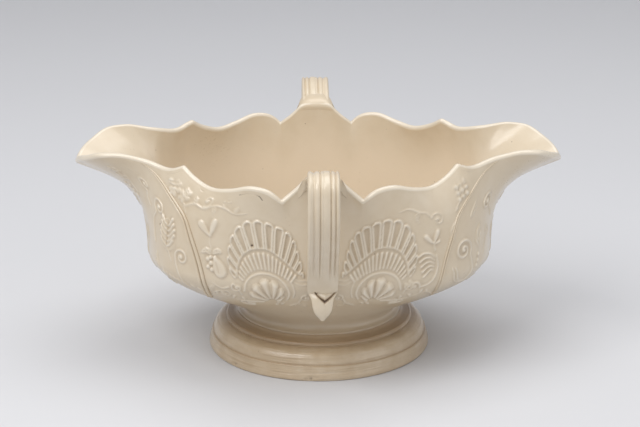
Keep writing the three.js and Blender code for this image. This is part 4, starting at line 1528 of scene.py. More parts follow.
class WallChart:
    """Measures places on a bowl's wall from a centre line and from the belly."""

    def __init__(self, shape: BowlShape, level: Array) -> None:
        """Measures the whole wall at the given levels, one row for each."""
        self.level = level
        self.turn = np.linspace(-math.pi, math.pi, CHART_SAMPLES)
        points = shape.on_level(self.turn[None, :], level[:, None])
        step = np.linalg.norm(np.diff(points, axis=1), axis=-1)
        self.ring = np.concatenate([np.zeros((len(level), 1)), np.cumsum(step, axis=1)], 1)
        climb = np.linalg.norm(np.diff(points, axis=0), axis=-1)
        rise = np.concatenate([np.zeros((1, len(self.turn))), np.cumsum(climb, axis=0)], 0)
        self.rise = rise - rise[int(np.argmin(np.abs(level - 1)))]

    def measured(self, angle: Array, centre: float) -> tuple[Array, Array]:
        """Charts a grid of angles, one row for each level, about a centre line.

        Args:
            angle: Angles about +Z of each row's places.
            centre: The centre line's angle about +Z.

        Returns:
            Distances right of the line and up from the belly.
        """
        folded = np.mod(angle - centre + math.pi, 2 * math.pi) - math.pi
        placed = self.turn + centre
        wrapped = np.mod(placed + math.pi, 2 * math.pi) - math.pi
        right = np.empty_like(angle)
        up = np.empty_like(angle)
        for k in range(len(self.level)):
            whole = self.ring[k, -1]
            ring = np.interp(wrapped, self.turn, self.ring[k])
            ring = ring + whole * np.round((placed - wrapped) / (2 * math.pi))
            middle = np.interp(0.0, self.turn, ring)
            right[k] = np.interp(folded[k], self.turn, ring) - middle
            up[k] = np.interp(np.mod(angle[k] + math.pi, 2 * math.pi) - math.pi, self.turn, self.rise[k])
        return right, up


@dataclass
class ReliefPanels:
    """The pressed relief: four thin skins over the wall that meet under the dividers.

    A panel's rows are levels of the wall, and every coarse-th row and column has a point at its back.
    """

    shape: BowlShape
    divider: Divider = Divider()
    spacing: float = 0.31
    low: float = -19.0
    cover: float = 0.025
    depth_inside: float = 0.9
    coarse: int = 8
    softness: float = 0.16
    hollow_reach: float = 0.9
    worn_rib: float = 0.55

    def build(self, finish: Finish) -> None:
        """Builds and dresses the four panels and the ribs between them."""
        level = self._levels()
        chart = WallChart(self.shape, level)
        edge = self.divider_angle(chart)
        side, end = SideDesign(), EndDesign()
        quarter = math.pi / 2
        for where in (Side.FRONT, Side.BACK, Side.RIGHT, Side.LEFT):
            if where in (Side.FRONT, Side.BACK):
                start, stop = -quarter - edge, -quarter + edge
            else:
                start, stop = -quarter + edge, quarter - edge
            count = self._count(chart, start, stop)
            share = np.linspace(0, 1, count)[None, :]
            angle = start[:, None] + (stop - start)[:, None] * share
            height = np.zeros_like(angle)
            flaws = Carving(*chart.measured(angle + where.turn, -quarter))
            Flaws().carve(flaws)
            for centre, design in ((-quarter, side), (quarter, side), (0.0, end), (math.pi, end)):
                carving = Carving(*chart.measured(angle, centre))
                design.carve(carving)
                height = np.maximum(height, carving.height) + np.minimum(carving.height, 0)
            self._panel(where, angle, chart, height + flaws.height, flaws.stain, finish)
        self._ribs(chart, edge, finish)

    def _levels(self) -> Array:
        """Levels of the panels' rows, evenly spaced on the wall."""
        dense = np.linspace(0.3, 2.0, 3000)
        place = lengths_along(self.shape.on_level(np.array(-1.9), dense))
        place -= np.interp(1.0, dense, place)
        rows = int((place[-1] - self.low) / self.spacing / self.coarse) * self.coarse + 1
        return np.interp(np.linspace(self.low, place[-1], rows), place, dense)

    def _count(self, chart: WallChart, start: Array, stop: Array) -> int:
        """Columns of a panel, for even spacing on its middle row."""
        middle = len(chart.level) // 2
        begin = np.interp(start[middle], chart.turn, chart.ring[middle])
        finish = np.interp(stop[middle], chart.turn, chart.ring[middle])
        return int((finish - begin) / self.spacing / self.coarse) * self.coarse + 1

    def divider_angle(self, chart: WallChart) -> Array:
        """Angle from a side's centre line to its divider, for each level."""
        path = smooth_run(self.divider.stations, 10)
        angle = np.linspace(0.0, math.pi / 2 - 0.02, 400) - math.pi / 2
        right, up = chart.measured(np.tile(angle, (len(chart.level), 1)), -math.pi / 2)
        found = np.empty(len(chart.level))
        for k in range(len(found)):
            gap = right[k] - np.interp(up[k], path[:, 1], path[:, 0])
            found[k] = np.interp(0.0, gap, angle) + math.pi / 2
        return found

    def _ribs(self, chart: WallChart, edge: Array, finish: Finish) -> None:
        """Builds the double ribs over the four dividers."""
        rib = self.divider.rib_tree()
        for where in (Side.FRONT, Side.BACK):
            for word, hand, boldness in (("left", -1.0, 1.0), ("right", 1.0, self.worn_rib)):
                angle = -math.pi / 2 + hand * edge
                offsets = np.array([-0.004, 0.0, 0.004])
                strip = self.shape.on_level(angle[:, None] + offsets[None, :], chart.level[:, None])
                outward = grid_normals(strip, False)[:, 1]
                _, up = chart.measured(angle[:, None], -math.pi / 2)
                name = f"{where.word}_{word}_rib"
                line = (strip[:, 1], outward, up[:, 0])
                piece = self.divider.build(rib, name, line, boldness, finish)
                moved_about(piece, where.turn)
                dress(faced_outward(piece), finish)

    def _panel(
        self, where: Side, angle: Array, chart: WallChart, height: Array, stain: Array, finish: Finish
    ) -> None:
        """Builds one panel from its grid, its relief and its stains, with painted shade in the relief's
        hollows and painted highlight on its crests.
        """
        rows, columns = angle.shape
        wall = self.shape.on_level(angle, chart.level[:, None])
        outward = grid_normals(wall, False)
        samples = self.softness / self.spacing
        soft = blurred(blurred(height, max(samples, 0.4), 0), max(samples, 0.4), 1)
        _, up = chart.measured(angle, 0.0)
        fade = smoothstep((up - up[0]) / 2.0) * smoothstep((up[-1] - up) / 1.6)
        lift = fade * (soft + 2 * self.cover) - self.cover
        front = wall + outward * lift[..., None]
        wide = self.hollow_reach / self.spacing
        level = blurred(blurred(soft, wide, 0), wide, 1)
        # Painted shade where the relief is sunk below its surroundings.
        crevice_shade = np.clip((level - soft) / 0.5 - 0.08, 0, 0.6) * fade
        # Painted highlight where the relief stands above its surroundings.
        crest = np.clip((soft - level) / 0.28 - 0.1, 0, 1) * fade
        step = self.coarse
        back = (wall - outward * self.depth_inside)[::step, ::step]
        points = np.vstack([front.reshape(-1, 3), back.reshape(-1, 3)])
        first = rows * columns
        faces = quads_of_rings(rows, columns, False).tolist()
        faces += quads_of_rings(*back.shape[:2], False, first)[:, ::-1].tolist()
        faces += self._skirt(rows, columns, first, back.shape[1])
        padding = np.zeros(len(points) - first)
        values = {
            "crevice_shade": np.concatenate([crevice_shade.ravel(), padding]),
            "crest": np.concatenate([crest.ravel(), padding]),
            "stain_and_crease_shade": np.concatenate([stain.ravel(), padding]),
        }
        piece = piece_from(f"{where.word}_relief", turned_round(where.turn, points), faces, values)
        dress(piece, finish)

    def _skirt(self, rows: int, columns: int, first: int, back_columns: int) -> list[list[int]]:
        """Faces that close the gap between the fine front and the coarse back."""
        step = self.coarse
        number = np.arange(rows * columns).reshape(rows, columns)
        behind = first + np.arange((rows // step + 1) * back_columns).reshape(-1, back_columns)
        edges = [
            (number[0, ::-1], behind[0, ::-1]),
            (number[-1], behind[-1]),
            (number[:, 0], behind[:, 0]),
            (number[::-1, -1], behind[::-1, -1]),
        ]
        faces = []
        for fine, coarse in edges:
            for k in range(len(coarse) - 1):
                run = fine[k * step : (k + 1) * step + 1].tolist()
                faces.append([*run, int(coarse[k + 1]), int(coarse[k])])
        return faces


def turned_round(turn: float, points: Array) -> Array:
    """Points turned about +Z by an angle in radians."""
    cosine = math.cos(turn)
    sine = math.sin(turn)
    x, y, z = np.moveaxis(np.asarray(points, float), -1, 0)
    return np.stack([x * cosine - y * sine, x * sine + y * cosine, z], -1)


def moved_about(piece: Piece, turn: float) -> None:
    """Turns a piece's mesh about +Z, leaving the object itself unturned."""
    piece.data.transform(Matrix.Rotation(turn, 4, "Z"))
    piece.data.update()


def rounded(corners: Sequence[tuple[float, float, float]], steps: int = 6) -> Array:
    """A closed outline whose corners are rounded off.

    Args:
        corners: Two coordinates and a rounding length for each corner.
        steps: Steps in each round.

    Returns:
        Points of the outline, in the corners' order.
    """
    places = np.array([corner[:2] for corner in corners], float)
    outline = []
    for k, (place, (_, _, length)) in enumerate(zip(places, corners)):
        back = places[k - 1] - place
        ahead = places[(k + 1) % len(places)] - place
        reach_back = min(length, np.linalg.norm(back) * 0.48)
        reach_ahead = min(length, np.linalg.norm(ahead) * 0.48)
        start = place + back / np.linalg.norm(back) * reach_back
        end = place + ahead / np.linalg.norm(ahead) * reach_ahead
        for t in np.linspace(0, 1, steps + 1):
            outline.append((1 - t) ** 2 * start + 2 * t * (1 - t) * place + t * t * end)
    return np.array(outline)


@dataclass
class Turning:
    """A turned ring: a section carried round a circle, with the marks of the wheel."""

    steps: int = 360
    radius: float = 38.0
    mark_size: float = 1.3
    mark_depth: float = 0.55
    wobble: float = 0.12
    seed: float = 2.4

    def __post_init__(self) -> None:
        """Writes the tree once for every turned piece."""
        sizes = ["Radius", "Mark Size", "Mark Depth", "Wobble", "Seed"]
        kinds = {"Steps": "NodeSocketInt", **{key: "NodeSocketFloat" for key in sizes}}
        g = Forming("turned_ring", kinds)
        section = g.node("GeometryNodeMeshToCurve", {}, {"Mesh": g.given("Geometry")})
        ring = g.node(
            "GeometryNodeCurvePrimitiveCircle",
            {"mode": "RADIUS"},
            {"Resolution": g.given("Steps"), "Radius": g.given("Radius")},
        )
        ring = g.node("GeometryNodeSetCurveNormal", {"mode": "Z_UP"}, {"Curve": ring})
        skin = g.node("GeometryNodeCurveToMesh", {}, {"Curve": ring, "Profile Curve": section})
        place = g.node("GeometryNodeInputPosition", {}, {})
        outward = g.node("GeometryNodeInputNormal", {}, {})
        flat = g.vector("MULTIPLY", place, (0.06, 0.06, 1.0))

        def noise(at: Wire, scale: Any, detail: float) -> Wire:
            """Seeded noise around 0."""
            inputs = {"Vector": at, "W": g.given("Seed"), "Scale": scale, "Detail": detail}
            return g.node("ShaderNodeTexNoise", {"noise_dimensions": "4D"}, inputs) - 0.5

        above_rest = g.part(place, "Z").eased(0.0005, 0.003)
        depth = noise(flat, g.given("Mark Size"), 2.0) * g.given("Mark Depth")
        depth = depth + noise(place, 30.0, 1.0) * g.given("Wobble")
        offset = g.scaled(g.vector("MULTIPLY", outward, (1.0, 1.0, 0.8)), depth * above_rest)
        marked = g.node("GeometryNodeSetPosition", {}, {"Geometry": skin, "Offset": offset})
        g.give(marked)
        self.tree = g

    def turn(
        self,
        name: str,
        section: Array,
        finish: Finish,
        hollows: Sequence[tuple[float, float]],
        marked: float = 1.0,
    ) -> Piece:
        """Turns a section into a ring.

        Args:
            name: The piece's name.
            section: Radius and height of the section's points, anticlockwise in that plane.
            finish: The piece's glaze.
            hollows: Heights, with how deep in a hollow the piece lies there, from 0 to 1, which sets the
                painted shade there.
            marked: Share of the wheel's marks that it keeps.

        Returns:
            The ring's piece, undressed.
        """
        flat = np.stack([section[:, 0] - self.radius, -section[:, 1], np.zeros(len(section))], -1)
        piece = drawn_lines(name, [(flat * MM, True)], {})
        values = {
            "Steps": self.steps,
            "Radius": self.radius * MM,
            "Mark Size": 1 / (self.mark_size * MM),
            "Mark Depth": self.mark_depth * marked * MM,
            "Wobble": self.wobble * marked * MM,
            "Seed": self.seed,
            "Material": finish,
        }
        self.tree.run(piece, values)
        height = point_values(piece, "co")[:, 2] / MM
        keep_value(piece, "crevice_shade", np.interp(height, *np.array(hollows).T))
        return faced_outward(piece)


def faced_outward(piece: Piece) -> Piece:
    """Turns a closed piece's faces outward if its volume comes out negative."""
    mesh = piece.data
    mesh.calc_loop_triangles()
    corners = np.empty(len(mesh.loop_triangles) * 3, dtype=np.int32)
    mesh.loop_triangles.foreach_get("vertices", corners)
    a, b, c = np.moveaxis(point_values(piece, "co")[corners.reshape(-1, 3)], 1, 0)
    if np.einsum("ij,ij->i", a, np.cross(b, c)).sum() < 0:
        mesh.flip_normals()
    return piece


@dataclass
class Foot:
    """The turned spreading foot, hollow underneath, and the slip that seats the bowl on it."""

    turning: Turning
    seat: float
    radius: float = 46.5
    rest_width: float = 4.2
    band_top: float = 6.0
    band_slope: float = 1.2
    step: float = 0.7
    groove_radius: float = 38.95
    groove_height: float = 11.9
    bead_radius: float = 38.0
    bead_height: float = 12.6
    bead_size: float = 1.1
    mouth: float = 30.5
    top: float = 13.7
    neck_radius: float = 34.6
    # Painted shade in the foot's grooves and over the bead's top, by height.
    hollows: Pairs = (
        (5.4, 0.0), (6.1, 0.6), (6.9, 0.0), (10.2, 0.0), (12.0, 0.6), (12.7, 0.75), (13.2, 1.0),
        (13.7, 1.0),
    )
    chips: tuple[tuple[float, float, float], ...] = (
        (-95.3, 1.2, 1.3), (-97.6, 0.9, 0.8), (-139.0, 1.4, 0.9), (34.0, 1.1, 1.1),
    )

    def build(self, finish: Finish, slip: Finish) -> None:
        """Builds and dresses the foot and its seam."""
        foot = self.turning.turn("foot", self._section(), finish, self.hollows)
        self._chip(foot)
        dress(foot, finish, ["foot"])
        # Painted shade over the whole seam, in the neck's hollow.
        seam = self.turning.turn("foot_slip_seam", self._seam(), slip, [(0.0, 1.0), (20.0, 1.0)], 0.5)
        dress(seam, slip, ["foot_slip_seam"])

    def _chip(self, foot: Piece) -> None:
        """Knocks small flakes off the foot's lower edge and shows the darker body there."""
        points = point_values(foot, "co") / MM
        dent = np.zeros(len(points))
        for turn, height, size in self.chips:
            angle = math.radians(turn)
            place = np.array([self.radius * math.cos(angle), self.radius * math.sin(angle), height])
            distance = np.linalg.norm(points - place, axis=1)
            dent = np.maximum(dent, np.clip(1.2 - distance / size, 0, 1))
        points[:, :2] *= (1 - 0.5 * dent / self.radius)[:, None]
        foot.data.vertices.foreach_set("co", (points * MM).ravel())
        foot.data.update()
        keep_value(foot, "stain_and_crease_shade", dent * 0.62)

    def _section(self) -> Array:
        """The foot's section: band, step, quarter-round shoulder, groove and bead."""
        edge = self.radius - self.band_slope
        shoulder = edge - self.step
        band = []
        for share in np.linspace(0.12, 0.82, 8):
            band.append((self.radius - self.band_slope * share, 1.0 + (self.band_top - 1.0) * share, 0.05))
        round_start = np.array([shoulder, self.band_top + 0.2])
        round_end = np.array([self.groove_radius, self.groove_height])
        swell = []
        for t in np.linspace(0.04, 1, 14):
            turn = t * math.pi / 2
            away = round_start[0] - (round_start[0] - round_end[0]) * (1 - math.cos(turn))
            swell.append((away, round_start[1] + (round_end[1] - round_start[1]) * math.sin(turn), 0.15))
        bead = []
        for turn in np.linspace(-0.12, 0.5, 12) * math.pi:
            away = self.bead_radius + self.bead_size * math.cos(turn)
            bead.append((away, self.bead_height + self.bead_size * math.sin(turn), 0.08))
        corners = [
            (self.radius - self.rest_width, 0.0, 0.9),
            (self.radius - 0.2, 0.0, 0.7),
            (self.radius, 1.0, 0.5),
            *band,
            (edge, self.band_top, 0.7),
            (shoulder + 0.05, self.band_top + 0.1, 0.12),
            *swell,
            *bead,
            (self.neck_radius, self.top, 0.3),
            (self.mouth, self.top, 0.8),
            (self.mouth + 0.6, 9.5, 1.5),
            (40.4, 4.5, 2.5),
        ]
        return rounded(corners, 3)

    def _seam(self) -> Array:
        """The seam's section: a hollow fillet from the foot up to the neck."""
        low = self.top - 0.25
        high = self.seat + 0.15
        corners = [
            (self.neck_radius - 3.4, low, 0.2),
            (self.neck_radius + 3.4, low, 0.1),
            (self.neck_radius + 3.3, low + 0.27, 0.4),
            (self.neck_radius + 0.9, low + 0.6, 1.4),
            (self.neck_radius - 0.1, high, 0.3),
            (self.neck_radius - 3.4, high, 0.2),
        ]
        return rounded(corners, 5)


@dataclass(frozen=True)
class Station:
    """A place on a strap's path, with the strap's size there and how deep its reeds are."""

    out: float
    height: float
    thickness: float
    width: float
    reeding: float


@dataclass
class StrapHandle:
    """A reeded strap bent into a loop from the raised rim to the belly, with a leaf-like tail."""

    shape: BowlShape
    width: float = 12.0
    thickness: float = 4.2
    reed_depth: float = 0.62
    bevel: float = 0.8
    reach: float = 23.4
    rise: float = 4.4
    root_drop: float = 0.9
    crease_drop: float = 45.2
    crease_gap: float = 2.4
    tail_length: float = 11.6
    tail_width: float = 11.0
    kick: float = 1.5
    crease_side: float = 0.9
    crease_fall: float = 3.4
    crease_depth: float = 1.1
    steps_between: int = 20
    end_rings: int = 5
    reeds: Pairs = (
        (-1.0, -0.5), (-0.95, 0.45), (-0.86, 0.85), (-0.76, 0.5), (-0.68, 0.1), (-0.6, -0.45),
        (-0.5, 0.25), (-0.38, 0.6), (-0.28, 0.3), (-0.215, -0.5), (-0.15, 0.35), (-0.09, 0.6),
        (-0.03, 0.45), (0.04, 0.75), (0.18, 0.85), (0.32, 0.7), (0.395, 0.2), (0.445, -0.5),
        (0.51, 0.35), (0.6, 0.65), (0.68, 0.3), (0.735, -0.45), (0.8, 0.4), (0.88, 0.9), (0.955, 0.45),
        (1.0, -0.5),
    )

    def __post_init__(self) -> None:
        """Writes the tree that lays a straight strap along its path."""
        g = Forming("bent_strap", {"Around": "NodeSocketInt", "Along": "NodeSocketInt"})
        line, section = g.path_and_section()
        around = g.given("Around")
        along = g.given("Along")
        grid = g.node("GeometryNodeMeshGrid", {}, {"Vertices X": around, "Vertices Y": along})
        number = g.node("GeometryNodeInputIndex", {}, {})
        column = g.node("ShaderNodeMath", {"operation": "DIVIDE"}, {0: number + 0.5, 1: along})
        column = g.node("ShaderNodeMath", {"operation": "FLOOR"}, {0: column})
        row = number - column * along
        place = g.node("GeometryNodeInputPosition", {}, {})
        tangent = g.node("GeometryNodeInputTangent", {}, {})
        centre = self._sampled(g, line, place, row)
        forward = self._sampled(g, line, tangent, row)
        size = self._sampled(g, line, g.named("size", "FLOAT_VECTOR"), row)
        outline = self._sampled(g, section, place, column)
        reed = self._sampled(g, section, g.named("reed", "FLOAT_VECTOR"), column)
        outward = g.vector("CROSS_PRODUCT", forward, (1.0, 0.0, 0.0))
        spread = g.vector("MULTIPLY", outline, size)
        reeding = g.part(size, "Z")
        bevel = g.part(reed, "Y") * (0.0 - reeding).largest(0.0)
        carved = g.part(reed, "Z") * reeding.largest(0.0) + bevel
        across = g.node("ShaderNodeCombineXYZ", {}, {"X": g.part(spread, "X")})
        lifted = g.scaled(outward, g.part(spread, "Y") + carved)
        landed = g.vector("ADD", centre, g.vector("ADD", across, lifted))
        shaped = g.node("GeometryNodeSetPosition", {}, {"Geometry": grid, "Position": landed})
        welded = g.node("GeometryNodeMergeByDistance", {}, {"Geometry": shaped, "Distance": 2e-6})
        g.give(welded)
        self.tree = g

    @staticmethod
    def _sampled(g: Forming, geometry: Wire, value: Wire, number: Wire) -> Wire:
        """A vector read from a numbered point."""
        inputs = {"Geometry": geometry, "Value": value, "Index": number}
        settings = {"data_type": "FLOAT_VECTOR", "domain": "POINT", "clamp": True}
        return g.node("GeometryNodeSampleIndex", settings, inputs)

    @property
    def root_height(self) -> float:
        """Height above the table where the strap leaves the wall."""
        return self.shape.seat + self.shape.handle_seat_height - self.root_drop

    @property
    def crease_height(self) -> float:
        """Height above the table of the crease over the tail."""
        return self.shape.seat + self.shape.handle_seat_height - self.crease_drop

    def stations(self) -> list[Station]:
        """The strap's path, from the rim over the loop to the tail's tip."""
        full = self.thickness
        wide = self.width
        top = self.shape.seat + self.shape.handle_seat_height

        def over(s: float, up: float, reeding: float) -> Station:
            """A station of the loop above the rim, by shares of the reach and the rise."""
            return Station(self.shape.seat_y + self.reach * s, top + self.rise * up, full, wide, reeding)

        def under(s: float, drop: float, thin: float, reeding: float) -> Station:
            """A station of the descent, by shares of the way out from the wall and of the drop."""
            height = top - self.crease_drop * drop
            near = self.shape.wall_under_handle(height) + self.crease_gap
            out = near + (self.shape.seat_y + self.reach - near) * s
            return Station(out, height, full * thin, wide, reeding)

        crease_out, crease_level = self.shape.off_wall(self.crease_height, self.crease_gap)

        def tail(kick: float, drop: float, thick: float, narrow: float) -> Station:
            """A station of the tail, by shares of its kick and its length."""
            out = crease_out + self.kick * kick
            height = crease_level - self.tail_length * drop
            return Station(out, height, thick, self.tail_width * narrow, -1)

        root = self.shape.off_wall(self.root_height, 1.2)
        above = self.shape.off_wall(self.crease_height, self.crease_gap, 0.8)
        below = self.shape.off_wall(self.crease_height, self.crease_gap, -0.8)
        return [
            Station(*root, full, wide, 0.3),
            over(0.19, 0.04, 0.85),
            over(0.34, 0.42, 1),
            over(0.55, 0.85, 1),
            over(0.77, 1, 1),
            over(0.94, 0.5, 1),
            Station(self.shape.seat_y + self.reach, top - self.crease_drop * 0.075, full, wide, 1),
            Station(self.shape.seat_y + self.reach * 0.985, top - self.crease_drop * 0.225, full, wide, 1),
            under(0.833, 0.4, 1, 1),
            under(0.575, 0.58, 1, 1),
            under(0.3, 0.75, 1.0, 0.75),
            under(0.13, 0.87, 0.95, 0.05),
            Station(*above, 3.0, 11.6, 0),
            Station(*below, 2.5, 11.0, -0.2),
            tail(0.8, 0.26, 3.0, 0.8),
            tail(1.1, 0.5, 2.9, 0.72),
            tail(1, 0.72, 2.5, 0.58),
            tail(0.5, 1, 1.0, 0.2),
        ]

    def build(self, side: Side, finish: Finish) -> Piece:
        """Builds and dresses a handle.

        Args:
            side: The handle's side.
            finish: Its glaze.

        Returns:
            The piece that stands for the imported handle.
        """
        stations = [[s.out, s.height, s.thickness, s.width, s.reeding] for s in self.stations()]
        run = self._closed_ends(smooth_run(stations, self.steps_between))
        path = np.stack([np.zeros(len(run)), -run[:, 0], run[:, 1]], -1)
        size = np.stack([run[:, 3] / 2, run[:, 2], run[:, 4]], -1)
        outline, reed = self._section()
        name = f"{side.word}_handle"
        values = {
            "size": np.vstack([size * MM, np.zeros_like(outline)]),
            "reed": np.vstack([np.zeros_like(path), reed]),
            "is_path": np.repeat([1.0, 0.0], [len(path), len(outline)]),
        }
        piece = drawn_lines(name, [(path * MM, False), (outline, False)], values)
        self.tree.run(piece, {"Around": len(outline), "Along": len(path), "Material": finish})
        faced_outward(piece)
        self._crease(piece)
        moved_about(piece, side.turn)
        return dress(piece, finish, [name])

    def _crease(self, piece: Piece) -> None:
        """Presses a sharp V, lowest near the middle, between the strap's end and the tail, and paints shade
        into it.
        """
        mesh = piece.data
        points = point_values(piece, "co") / MM
        normals = point_values(piece, "normal")
        _, top = self.shape.off_wall(self.crease_height, self.crease_gap)
        across = points[:, 0] - self.crease_side
        half = np.where(across < 0, 4.2, 4.6)
        open_share = np.clip(1 - np.abs(across) / half, 0, 1)
        line = top - self.crease_fall * open_share
        gap = (points[:, 2] - line) / (0.25 + 0.55 * open_share)
        outer = smoothstep((-normals[:, 1] - 0.1) / 0.3)
        dent = outer * np.exp(-(gap**2)) * open_share**0.35
        swell = outer * np.exp(-(((points[:, 2] - line - 2.2) / 1.6) ** 2)) * open_share
        points += normals * (0.45 * swell - self.crease_depth * dent)[:, None]
        mesh.vertices.foreach_set("co", (points * MM).ravel())
        # Painted shade in the crease, darkest at its deepest.
        keep_value(piece, "crevice_shade", np.clip(dent * 1.6, 0, 1))
        keep_value(piece, "stain_and_crease_shade", np.clip(dent * 0.85, 0, 1))
        mesh.update()

    def _closed_ends(self, run: Array) -> Array:
        """Adds rings at both ends that round them off to a point."""
        ends = []
        for end, inner in ((run[0], run[1]), (run[-1], run[-2])):
            outward = (end[:2] - inner[:2]) / np.linalg.norm(end[:2] - inner[:2])
            rings = []
            for turn in np.linspace(0, math.pi / 2, self.end_rings + 1)[1:]:
                ring = end.copy()
                ring[:2] += outward * math.sin(turn) * 0.25
                ring[2:4] *= max(math.cos(turn), 0.0)
                ring[4] *= max(math.cos(turn), 0.0)
                rings.append(ring)
            ends.append(rings)
        return np.vstack([ends[0][::-1], run, ends[1]])

    def _section(self) -> tuple[Array, Array]:
        """The strap's section for a half width and a thickness of 1, and its reeds' heights."""
        outer = smooth_run([(x, h) for x, h in self.reeds], 6)
        bare = np.stack([outer[:, 0], 0.465 - 0.1 * np.abs(outer[:, 0]) ** 6], -1)
        inner = smooth_run([(1.0, 0.3), (1.0, -0.1), (0.93, -0.42), (0.7, -0.51), (0, -0.535)], 7)
        mirrored = inner[::-1] * [-1, 1]
        outline = np.vstack([bare, inner[1:], mirrored[1:-1], bare[:1]])
        reed = np.zeros((len(outline), 3))
        reed[: len(outer), 2] = outer[:, 1] * self.reed_depth
        reed[: len(outer), 1] = self.bevel * (0.35 - np.abs(outer[:, 0]) ** 2.2)
        reed[-1] = reed[0]
        return np.hstack([outline, np.zeros((len(outline), 1))]), reed


@dataclass
class SlipJoints:
    """Slip smoothed over the joints between the handles and the bowl."""

    handle: StrapHandle
    root_half: float = 9.2
    root_reach_half: float = 7.4
    crown_depth: float = 0.9
    tail_width: float = 8.6
    tail_length: float = 7.0
    root_rings: int = 41
    tail_rings: int = 31

    def build(self, side: Side, finish: Finish) -> None:
        """Builds and dresses both joints of a handle."""
        for word, rings in (("root", self._saddle()), ("tail", self._smear())):
            name = f"{side.word}_handle_{word}_slip"
            points, faces = capped_skin(rings)
            piece = piece_from(name, turned_round(side.turn, points), faces)
            dress(faced_outward(piece), finish, [name])

    def _saddle_outline(self) -> Array:
        """Side view of the slip that runs over the rim and up onto the strap."""
        shape = self.handle.shape
        root = self.handle.root_height
        top = shape.seat + shape.handle_seat_height
        seat_y = shape.seat_y
        corners = [
            (*shape.off_wall(top - 3.8, -2.2), 0.2),
            (*shape.off_wall(top - 3.2, -2.6), 0.5),
            (*shape.off_wall(top - 1.4, -2.8), 0.9),
            (*shape.off_wall(top, -1.5, 0.75), 1.6),
            (seat_y + 1.0, top + 1.9, 2.5),
            (seat_y + 4.2, top + 2.55, 1.5),
            (seat_y + 6.4, top + 2.6, 0.3),
            (seat_y + 6.0, top + 1.2, 0.5),
            (*shape.off_wall(root, 2.2, -1.9), 0.6),
            (*shape.off_wall(root, 0.7, -3.3), 0.8),
            (*shape.off_wall(root, 0.2, -3.9), 0.2),
        ]
        return rounded(corners, 5) - [seat_y, top]

    def _saddle(self) -> list[Array]:
        """Sections of the root's slip, which follows the rim and thins out to both sides."""
        shape = self.handle.shape
        away, rise = self._saddle_outline().T
        rings = []
        for share in np.sin(np.linspace(-1, 1, self.root_rings) * math.pi / 2):
            x = share * self.root_half
            angle = math.atan2(shape.seat_y, x)
            radius, height = shape.rim_at(np.array(angle), "sharp")
            fade = 1 - abs(share) ** 3
            reach = math.sqrt(max(1 - min(abs(x) / self.root_reach_half, 1.0) ** 5, 0.0))
            out = np.where(away > 0.2, 0.2 + (away - 0.2) * reach, away)
            out = -1.25 + (out + 1.25) * (0.8 + 0.2 * fade)
            up = np.where(rise > -self.crown_depth, (rise + self.crown_depth) * fade - self.crown_depth, rise)
            y = float(radius) * math.sin(angle) + out
            rings.append(np.stack([np.full(len(y), x), -y, shape.seat + float(height) + up], -1))
        return rings

    def _tail_outline(self) -> Array:
        """Side view of the slip between the crease and the wall."""
        shape = self.handle.shape
        heights = self.handle.crease_height + np.linspace(-0.3, 0.7, 9) * self.tail_length
        near = [shape.off_wall(h, 0.3) for h in heights]
        far = [shape.off_wall(h, 0.9) for h in heights[::-1]]
        return rounded([(*p, 0.25) for p in [*near, *far]], 2)

    def _smear(self) -> list[Array]:
        """Sections of the tail's slip, which thins out to both sides."""
        outline = self._tail_outline()
        centre = outline.mean(axis=0)
        rings = []
        for share in np.sin(np.linspace(-1, 1, self.tail_rings) * math.pi / 2):
            size = max(1 - abs(share) ** 4, 0.0) ** 0.5 * 0.92 + 0.08
            ring = centre + (outline - centre) * size
            across = np.full(len(ring), share * self.tail_width / 2)
            rings.append(np.stack([across, -ring[:, 0], ring[:, 1]], -1))
        return rings


@dataclass(frozen=True)
class Lighting:
    """Soft studio light: broad lamps at the left and above, a weak one at the right, a pale room."""

    key_watts: float = 6.2
    fill_watts: float = 1.2
    top_watts: float = 4.9
    room: float = 0.56

    def build(self) -> None:
        """Adds the lamps and the room's light."""
        self._lamp("key_lamp", (-0.5, -0.5, 0.85), 0.7, self.key_watts)
        self._lamp("fill_lamp", (0.8, -0.5, 0.35), 0.6, self.fill_watts)
        self._lamp("top_lamp", (0.15, 0.05, 1.05), 0.85, self.top_watts)
        world = bpy.data.worlds.new("pale_room")
        bpy.context.scene.world = world
        world.use_nodes = True
        background = world.node_tree.nodes["Background"]
        background.inputs["Color"].default_value = (0.96, 0.97, 1.0, 1.0)
        background.inputs["Strength"].default_value = self.room

    def _lamp(self, name: str, place: tuple[float, float, float], size: float, watts: float) -> None:
        """A square soft lamp, in metres, turned to the vessel."""
        data = bpy.data.lights.new(name, "AREA")
        data.size = size
        data.energy = watts
        lamp = bpy.data.objects.new(name, data)
        lamp.location = place
        aim = Vector((0, 0, 0.05)) - Vector(place)
        lamp.rotation_euler = aim.to_track_quat("-Z", "Y").to_euler()
        bpy.context.scene.collection.objects.link(lamp)


